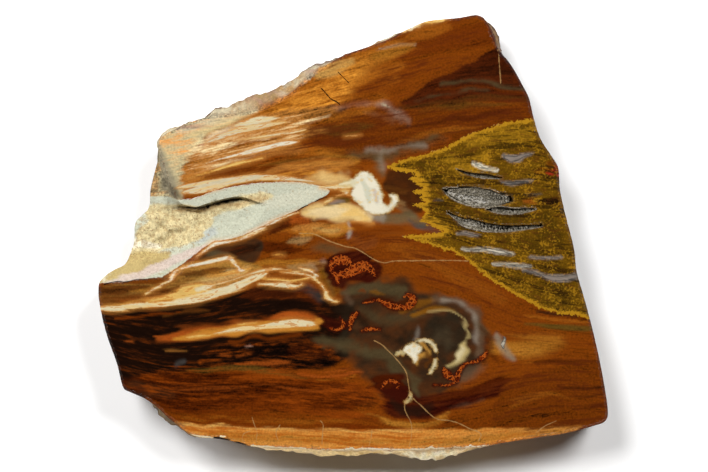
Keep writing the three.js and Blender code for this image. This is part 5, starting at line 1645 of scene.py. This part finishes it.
def with_mustard(nodes, colour):
    """Mustard stone with a golden rim."""
    moss = nodes.shade(nodes.inlay, nodes.ramp(nodes.mottle, 0.3, 0.7, 0.8, 1.15))
    moss = nodes.mix(nodes.ramp(nodes.fine, 0.5, 0.64, 0.0, 0.5), moss, "brown")
    moss = nodes.mix(nodes.ramp(nodes.middling, 0.5, 0.62, 0.0, 0.75), moss, "moss_dark")
    moss = nodes.shade(moss, nodes.ramp(nodes.speckle, 0.3, 0.7, 0.72, 1.3))
    golden = nodes.ramp(nodes.around(nodes.mottle, 0.8, nodes.speckle), 0.54, 0.7, 0.0, 0.45)
    moss = nodes.mix(golden, moss, "ochre")
    inside = nodes.edge(nodes.around(nodes.dots, 2.0, nodes.mustard), nodes.crumb, 2.0, 0.15)
    colour = nodes.mix(inside, colour, moss)
    ragged = nodes.around(nodes.speckle, 3.2, nodes.around(nodes.mottle, 3.0, nodes.mustard))
    rim = nodes.ramp(ragged, 1.2, 0.6, 0.0, 0.9)
    return nodes.mix(nodes.calc("MULTIPLY", rim, inside), colour, "ochre")


def with_cream(nodes, colour):
    """Cream wood, with a warm glow round it and stains along its grain."""
    glow = nodes.ramp(nodes.around(nodes.middling, 1.6, nodes.cream), -1.4, 0.1, 0.0, 0.7)
    colour = nodes.mix(glow, colour, nodes.mix(0.5, colour, "peach"))
    pale = nodes.shade(nodes.inlay, nodes.ramp(nodes.fine, 0.2, 0.8, 0.8, 1.08))
    margin = nodes.ramp(nodes.around(nodes.middling, 1.2, nodes.cream), 0.45, 0.0, 0.0, 0.85)
    pale = nodes.mix(margin, pale, "amber")
    pale = nodes.mix(nodes.ramp(nodes.middling, 0.5, 0.62, 0.0, 0.5), pale, "gold")
    pale = nodes.mix(nodes.ramp(nodes.fine, 0.55, 0.65, 0.0, 0.75), pale, "peach")
    inside = nodes.edge(nodes.around(nodes.speckle, 0.8, nodes.cream), nodes.fibre, 2.2, 0.35)
    return nodes.mix(inside, colour, pale)


def with_rust(nodes, colour):
    """Rust curls with dark outlines."""
    outline = nodes.ramp(nodes.around(nodes.crumb, 1.6, nodes.ember), -0.9, 0.1, 0.0, 0.85)
    colour = nodes.mix(outline, colour, "oxblood")
    warp = nodes.add("ShaderNodeTexNoise", {"Vector": nodes.place, "Scale": 0.7}).outputs["Color"]
    sockets = {0: warp, 1: (1.8, 1.8, 1.8), 2: nodes.place}
    warped = nodes.add("ShaderNodeVectorMath", sockets, operation="MULTIPLY_ADD").outputs[0]
    sockets = {"Vector": warped, "Scale": 0.75}
    cells = nodes.add("ShaderNodeTexVoronoi", sockets, feature="DISTANCE_TO_EDGE").outputs["Distance"]
    patches = nodes.ramp(nodes.around(nodes.speckle, 0.7, nodes.crumb), 0.42, 0.66)
    rust = nodes.mix(nodes.ramp(cells, 0.03, 0.13), "ember", nodes.mix(patches, "oxblood", "cinnabar"))
    core = nodes.ramp(nodes.around(nodes.dots, 2.2, nodes.ember), 0.8, 1.5, 0.0, 0.6)
    rust = nodes.mix(core, rust, "ember")
    return nodes.mix(nodes.edge(nodes.ember, nodes.speckle, 1.4, 0.2), colour, rust)


def with_lenses(nodes, colour):
    """Smooth lenses of chalcedony."""
    lens = nodes.shade(nodes.inlay, nodes.ramp(nodes.middling, 0.35, 0.65, 0.85, 1.3))
    lens = nodes.mix(nodes.ramp(nodes.around(nodes.fine, 1.2, nodes.glass), 0.0, 0.5), "slate", lens)
    return nodes.mix(nodes.edge(nodes.glass, nodes.fibre, 1.0, 0.2), colour, lens)


def with_druse(nodes, colour):
    """Druse full of dark dots, with a pale edge."""
    grainy = nodes.mix(nodes.ramp(nodes.dots, 0.4, 0.52), "smoke", "stone_grey")
    grainy = nodes.mix(nodes.ramp(nodes.dots, 0.54, 0.64, 0.0, 0.8), grainy, "glass_white")
    margin = nodes.ramp(nodes.around(nodes.crumb, 1.6, nodes.druse), 0.4, 0.0, 0.0, 0.5)
    grainy = nodes.mix(margin, grainy, "glass_lilac")
    return nodes.mix(nodes.edge(nodes.druse, nodes.speckle, 1.0), colour, grainy)


def with_opal(nodes, colour):
    """White opal with a golden fringe."""
    fringe = nodes.ramp(nodes.around(nodes.crumb, 2.4, nodes.white), -0.9, 0.1, 0.0, 0.75)
    colour = nodes.mix(fringe, colour, nodes.mix(nodes.ramp(nodes.white, -1.2, 0.0), "amber", "straw"))
    opal = nodes.mix(nodes.ramp(nodes.mottle, 0.42, 0.62, 0.0, 0.35), nodes.inlay, "clay")
    golden = nodes.ramp(nodes.around(nodes.mottle, 0.8, nodes.crumb), 0.54, 0.7, 0.0, 0.5)
    opal = nodes.mix(golden, opal, "gold")
    opal = nodes.mix(nodes.ramp(nodes.speckle, 0.64, 0.76, 0.0, 0.3), opal, "fawn")
    inside = nodes.edge(nodes.around(nodes.fibre, 1.6, nodes.white), nodes.crumb, 1.2, 0.5)
    return nodes.mix(inside, colour, opal)


def with_cracks(nodes, colour):
    """Healed cracks in tan, and dark open ones, with painted shade along the hollow's lip among them."""
    healed = nodes.part(nodes.edge(nodes.light_crack, nodes.crumb, 0.5, 0.15), 0.75)
    colour = nodes.mix(healed, colour, "tan")
    return nodes.mix(nodes.edge(nodes.dark_crack, nodes.fine, 0.4, 0.1), colour, "soot")


def with_rind(nodes, colour):
    """The worn rind down the sides."""
    worn = nodes.shade(nodes.ground, nodes.ramp(nodes.speckle, 0.25, 0.75, 0.75, 1.12))
    worn = nodes.shade(worn, nodes.ramp(nodes.crumb, 0.3, 0.7, 0.82, 1.1))
    return nodes.mix(nodes.rind, colour, worn)


def stone_relief(nodes):
    """Grit and saw marks where the stone isn't polished."""
    sockets = {"Vector": nodes.place, "Scale": 0.35, "Distortion": 0.6, "Detail": 2.0}
    saw = nodes.add("ShaderNodeTexWave", sockets).outputs["Fac"]
    relief = nodes.calc("MULTIPLY_ADD", nodes.speckle, 0.8, nodes.part(nodes.grit["Distance"], -0.4))
    relief = nodes.calc("MULTIPLY_ADD", saw, 0.06, relief)
    relief = nodes.calc("MULTIPLY", relief, nodes.rough)
    sockets = {"Height": relief, "Strength": 0.6, "Distance": 0.3 * MM}
    return nodes.add("ShaderNodeBump", sockets).outputs[0]


def stone_material(polish, streaks):
    """Agatised wood: grain, inlays, cracks and rind, glossy where the face is polished."""
    material = bpy.data.materials.new("agatised_wood")
    material.use_nodes = True
    material.node_tree.nodes.clear()
    nodes = StoneNodes(material.node_tree)
    colour = wood_colour(nodes, streaks)
    for layer in (
        with_broken_stone, with_hollow_floor, with_mustard, with_cream, with_rust, with_lenses, with_druse,
        with_opal, with_cracks, with_rind,
    ):
        colour = layer(nodes, colour)
    surface = nodes.add("ShaderNodeBsdfPrincipled", {
        "Base Color": colour,
        "Roughness": nodes.ramp(nodes.rough, 0.0, 1.0, polish, 0.85),
        "Normal": stone_relief(nodes),
        "Specular IOR Level": nodes.ramp(nodes.rough, 0.0, 1.0, 0.5, 0.2),
    })
    nodes.add("ShaderNodeOutputMaterial", {0: surface.outputs[0]})
    return material


def quartz_material():
    """Clear to milky quartz, with painted shade that turns it black deep in the slit."""
    material = bpy.data.materials.new("drusy_quartz")
    material.use_nodes = True
    nodes = Nodes(material.node_tree)
    surface = material.node_tree.nodes["Principled BSDF"]
    place = nodes.place_in_mm()
    cloud = nodes.noise(place, 0.9, 3.0)
    colour = nodes.mix(nodes.ramp(cloud, 0.4, 0.65), "stone_grey", "glass_white")
    height = nodes.add("ShaderNodeSeparateXYZ", {0: place}).outputs[2]
    # Painted shade: the quartz goes over into black low in the slit
    colour = nodes.mix(nodes.ramp(height, FACE - 3.0, FACE - 1.9), "soot", colour)
    nodes.tree.links.new(colour, surface.inputs["Base Color"])
    nodes.tree.links.new(nodes.ramp(cloud, 0.35, 0.75, 0.3, 0.6), surface.inputs["Roughness"])
    surface.inputs["IOR"].default_value = QUARTZ_IOR
    surface.inputs["Transmission Weight"].default_value = QUARTZ_CLEARNESS
    return material


# Quartz crusts


def crust_mesh(name, stations, depth, levels):
    """A closed filling of quartz in a slit. Its upper faces are marked for the crystals."""
    line = slit_line(stations, CRUST_PER_SPAN)[CRUST_ENDS:-CRUST_ENDS]
    half = np.maximum(line[:, 2] - CRUST_GAP, 0.05)
    keel = FACE - depth + CRUST_GAP
    shares, below = np.transpose(levels)
    edge = FACE - CRUST_EDGE * below.min()
    middle = FACE - np.interp(np.linspace(0, 1, len(line)), shares, below)
    hull = []
    for down in CRUST_SIDES:
        height = blend(edge, keel, down)
        across = math.sqrt(1 - SLIT_ROUND * ((FACE - height) / depth) ** 2)
        hull.append((across, middle * 0 + height))
    dish = [(across, blend(edge, middle, 1 - across**2)) for across in CRUST_DISH]
    section = hull + [(-across, height) for across, height in hull[::-1]] + dish
    sideways = rightward(headings(line))
    rings = []
    for across, height in section:
        rings.append(np.column_stack([line[:, :2] + sideways * (half * across)[:, None], height]))
    points = np.stack(rings, 1).reshape(-1, 3)
    count = len(section)
    k = np.arange(count)
    after = (k + 1) % count
    faces = []
    for low in range(0, len(points) - count, count):
        faces += np.column_stack([low + k, low + after, low + count + after, low + count + k]).tolist()
    mesh = bpy.data.meshes.new(name)
    lined = [face[0] % count >= 2 * len(hull) - 1 for face in faces] + [False, False]
    faces += [k[::-1].tolist(), (len(points) - count + k).tolist()]
    mesh.from_pydata((points * MM).tolist(), [], faces)
    mesh.attributes.new("lined", "BOOLEAN", "FACE").data.foreach_set("value", lined)
    return mesh


def crystal_tree():
    """Geometry nodes that grow pointed six-sided crystals on the marked faces of a crust."""
    tree = bpy.data.node_groups.new("Quartz crystals", "GeometryNodeTree")
    nodes = Nodes(tree)
    inputs = {
        "Geometry": "Geometry", "Density": "Float", "Radius": "Float", "Length": "Float", "Seed": "Int",
        "Material": "Material",
    }
    for name, kind in inputs.items():
        tree.interface.new_socket(name, in_out="INPUT", socket_type="NodeSocket" + kind)
    tree.interface.new_socket("Geometry", in_out="OUTPUT", socket_type="NodeSocketGeometry")
    given = tree.nodes.new("NodeGroupInput").outputs
    lined = nodes.add("GeometryNodeInputNamedAttribute", {"Name": "lined"}, data_type="BOOLEAN").outputs[0]
    spread = nodes.add("GeometryNodeDistributePointsOnFaces", {
        "Mesh": given["Geometry"], "Selection": lined, "Density": given["Density"], "Seed": given["Seed"],
    })
    shaft = nodes.add("GeometryNodeMeshCone", {
        "Vertices": 6, "Side Segments": 1, "Fill Segments": 1, "Radius Top": CRYSTAL_TAPER,
        "Radius Bottom": 1.0, "Depth": 1.0,
    }).outputs["Mesh"]
    tip = nodes.add("GeometryNodeMeshCone", {
        "Vertices": 6, "Radius Top": 0.0, "Radius Bottom": CRYSTAL_TAPER, "Depth": CRYSTAL_TIP,
    }).outputs["Mesh"]
    sockets = {"Geometry": tip, "Translation": (0.0, 0.0, 1.0)}
    raised = nodes.add("GeometryNodeTransform", sockets).outputs[0]
    both = tree.nodes.new("GeometryNodeJoinGeometry")
    tree.links.new(shaft, both.inputs[0])
    tree.links.new(raised, both.inputs[0])
    smallest, largest = CRYSTAL_SIZES
    size = nodes.add("FunctionNodeRandomValue", {2: smallest, 3: largest, "Seed": 3}).outputs[1]
    wide = nodes.calc("MULTIPLY", size, given["Radius"])
    tall = nodes.calc("MULTIPLY", size, given["Length"])
    scale = nodes.add("ShaderNodeCombineXYZ", {0: wide, 1: wide, 2: tall}).outputs[0]
    least = (-CRYSTAL_LEAN, -CRYSTAL_LEAN, 0.0)
    most = (CRYSTAL_LEAN, CRYSTAL_LEAN, FULL_TURN)
    sockets = {0: least, 1: most, "Seed": 5}
    lean = nodes.add("FunctionNodeRandomValue", sockets, data_type="FLOAT_VECTOR").outputs[0]
    sockets = {0: spread.outputs["Rotation"], 1: lean}
    turned = nodes.add("FunctionNodeRotateEuler", sockets, space="LOCAL").outputs[0]
    grown = nodes.add("GeometryNodeInstanceOnPoints", {
        "Points": spread.outputs["Points"], "Instance": both.outputs[0], "Rotation": turned, "Scale": scale,
    }).outputs[0]
    real = nodes.add("GeometryNodeRealizeInstances", {0: grown}).outputs[0]
    whole = tree.nodes.new("GeometryNodeJoinGeometry")
    tree.links.new(given["Geometry"], whole.inputs[0])
    tree.links.new(real, whole.inputs[0])
    sockets = {"Geometry": whole.outputs[0], "Material": given["Material"]}
    painted = nodes.add("GeometryNodeSetMaterial", sockets)
    nodes.add("NodeGroupOutput", {0: painted.outputs[0]})
    return tree


def grow(name, base, tree, values):
    """Runs a geometry nodes tree on a mesh and keeps the result as a plain mesh."""
    obj = bpy.data.objects.new(name, base)
    bpy.context.scene.collection.objects.link(obj)
    modifier = obj.modifiers.new("Growth", "NODES")
    modifier.node_group = tree
    for item in tree.interface.items_tree:
        if item.in_out == "INPUT" and item.name in values:
            modifier[item.identifier] = values[item.name]
    bpy.context.view_layer.update()
    evaluated = obj.evaluated_get(bpy.context.evaluated_depsgraph_get())
    grown = bpy.data.meshes.new_from_object(evaluated)
    obj.modifiers.clear()
    obj.data = grown
    grown.name = name
    return obj


def settle(obj, node):
    """Makes a finished piece stand for its part of the model."""
    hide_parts(node)
    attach(obj, "root")


# The add-on


class StoneSettings(bpy.types.PropertyGroup):
    """What the slice is made with."""

    face_step: FloatProperty(
        name="Face step", description="Size of the face's triangles, in millimetres", default=0.56, min=0.3)
    side_step: FloatProperty(
        name="Side step", description="Size of the side's faces, in millimetres", default=0.6, min=0.3)
    side_rings: IntProperty(
        name="Side rings", description="Rows of faces down the sides", default=24, min=6)
    rounding: FloatProperty(
        name="Rim rounding", description="Radius of the worn rim, in millimetres", default=0.45)
    polish: FloatProperty(
        name="Polish", description="Roughness of the polished face", default=0.07, min=0, max=1)
    streaks: FloatProperty(
        name="Streaks", description="Strength of the grain's streaks", default=1.05, min=0)


class QuartzSettings(bpy.types.PropertyGroup):
    """What the quartz crusts are made with."""

    density: FloatProperty(
        name="Density", description="Crystals on a square metre", default=2.6e6)
    radius: FloatProperty(
        name="Radius", description="Radius of a crystal", default=0.26 * MM, subtype="DISTANCE",
        unit="LENGTH")
    length: FloatProperty(
        name="Length", description="Length of a crystal's shaft", default=0.55 * MM, subtype="DISTANCE",
        unit="LENGTH")


class StudioSettings(bpy.types.PropertyGroup):
    """How the slice is lit and seen."""

    lens: FloatProperty(
        name="Lens", description="Focal length in millimetres", default=135)
    view_width: FloatProperty(
        name="View width", description="Width of the view at the face", default=0.2124, subtype="DISTANCE",
        unit="LENGTH")
    middle: FloatVectorProperty(
        name="Middle", description="What the camera looks down on", size=2, default=(0.00025, 0.00047),
        subtype="XYZ")
    key: FloatProperty(
        name="Key", description="Power of each of the two soft lights, in watts", default=9.4)
    side: FloatProperty(
        name="Side", description="Power of the light at the left, in watts", default=6.0)
    fill: FloatProperty(
        name="Fill", description="Power of the low fill light, in watts", default=3.6)


class STONE_OT_slice(bpy.types.Operator):
    """Builds the polished slice"""

    bl_idname = "stone.slice"
    bl_label = "Slice"

    def execute(self, context):
        given = context.scene.stone
        name = "polished_slice"
        mesh = slice_mesh(name, given.face_step, given.side_step, given.side_rings, given.rounding)
        mesh.materials.append(stone_material(given.polish, given.streaks))
        piece = bpy.data.objects.new(name, mesh)
        context.scene.collection.objects.link(piece)
        settle(piece, "petrified_wood_slice")
        return {"FINISHED"}


class STONE_OT_crusts(bpy.types.Operator):
    """Grows the quartz in the slits"""

    bl_idname = "stone.crusts"
    bl_label = "Quartz crusts"

    def execute(self, context):
        given = context.scene.quartz
        values = {
            "Density": given.density, "Radius": given.radius, "Length": given.length,
            "Material": quartz_material(),
        }
        tree = crystal_tree()
        for seed, name in enumerate(CRUST_LEVELS, start=4):
            depth, stations = SLITS[name]
            base = crust_mesh(f"crust_base_{name}", stations, depth, CRUST_LEVELS[name])
            values["Seed"] = seed
            piece = grow(f"quartz_points_{name}", base, tree, values)
            settle(piece, f"quartz_crust_{name}")
        return {"FINISHED"}


class STONE_OT_stage(bpy.types.Operator):
    """Sets up the floor, the lights and the camera"""

    bl_idname = "stone.stage"
    bl_label = "Studio"

    def execute(self, context):
        given = context.scene.studio
        self.add_floor(context)
        for name, setting, place, size, tint in LAMPS:
            self.add_light(context, name, place, size, getattr(given, setting), tint)
        self.add_camera(context, given)
        self.add_world(context)
        context.scene.view_settings.view_transform = "Standard"
        return {"FINISHED"}

    def add_camera(self, context, given):
        """A camera that looks straight down on the face."""
        data = bpy.data.cameras.new("camera")
        data.lens = given.lens
        camera = bpy.data.objects.new("camera", data)
        camera.location = (*given.middle, FACE * MM + given.view_width * given.lens / data.sensor_width)
        context.scene.collection.objects.link(camera)
        context.scene.camera = camera

    def add_world(self, context):
        """A faint white light from all round."""
        world = bpy.data.worlds.new("studio")
        world.use_nodes = True
        tree = world.node_tree
        background = tree.nodes["Background"]
        background.inputs[0].default_value = (*PLAIN_LIGHT, 1.0)
        nodes = Nodes(tree)
        direction = nodes.add("ShaderNodeTexCoord").outputs["Generated"]
        height = nodes.add("ShaderNodeSeparateXYZ", {0: direction}).outputs[2]
        light = nodes.ramp(height, LOW_SKY, HIGH_SKY, LOW_SKY_LIGHT, HIGH_SKY_LIGHT)
        tree.links.new(light, background.inputs[1])
        context.scene.world = world

    def add_floor(self, context):
        """A matt, pale floor just below the stone."""
        signs = ((-1, -1), (1, -1), (1, 1), (-1, 1))
        corners = [(x * FLOOR_REACH, y * FLOOR_REACH, FLOOR_LEVEL) for x, y in signs]
        mesh = bpy.data.meshes.new("floor")
        mesh.from_pydata(corners, [], [(0, 1, 2, 3)])
        material = bpy.data.materials.new("pale_floor")
        material.use_nodes = True
        surface = material.node_tree.nodes["Principled BSDF"]
        surface.inputs["Base Color"].default_value = FLOOR_COLOUR
        surface.inputs["Roughness"].default_value = 1.0
        surface.inputs["Specular IOR Level"].default_value = 0.0
        mesh.materials.append(material)
        floor = bpy.data.objects.new("floor", mesh)
        context.scene.collection.objects.link(floor)

    def add_light(self, context, name, place, size, power, tint):
        """A round soft lamp that shines on the middle of the stone."""
        data = bpy.data.lights.new(name, "AREA")
        data.color = tint
        data.shape = "DISK"
        data.size = size
        data.energy = power
        light = bpy.data.objects.new(name, data)
        light.location = place
        light.rotation_euler = (-Vector(place)).to_track_quat("-Z", "Y").to_euler()
        context.scene.collection.objects.link(light)


class STONE_PT_panel(bpy.types.Panel):
    """The pieces of the slice"""

    bl_idname = "STONE_PT_panel"
    bl_label = "Petrified wood slice"
    bl_space_type = "VIEW_3D"
    bl_region_type = "UI"
    bl_category = "Stone"

    def draw(self, context):
        for operator in (STONE_OT_slice, STONE_OT_crusts, STONE_OT_stage):
            self.layout.operator(operator.bl_idname)


CLASSES = (
    StoneSettings, QuartzSettings, StudioSettings, STONE_OT_slice, STONE_OT_crusts, STONE_OT_stage,
    STONE_PT_panel,
)


def register():
    for item in CLASSES:
        bpy.utils.register_class(item)
    bpy.types.Scene.stone = PointerProperty(type=StoneSettings)
    bpy.types.Scene.quartz = PointerProperty(type=QuartzSettings)
    bpy.types.Scene.studio = PointerProperty(type=StudioSettings)


def unregister():
    del bpy.types.Scene.studio
    del bpy.types.Scene.quartz
    del bpy.types.Scene.stone
    for item in reversed(CLASSES):
        bpy.utils.unregister_class(item)


def main():
    register()
    bpy.ops.stone.slice()
    bpy.ops.stone.crusts()
    bpy.ops.stone.stage()
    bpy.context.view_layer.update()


if __name__ == "__main__":
    main()
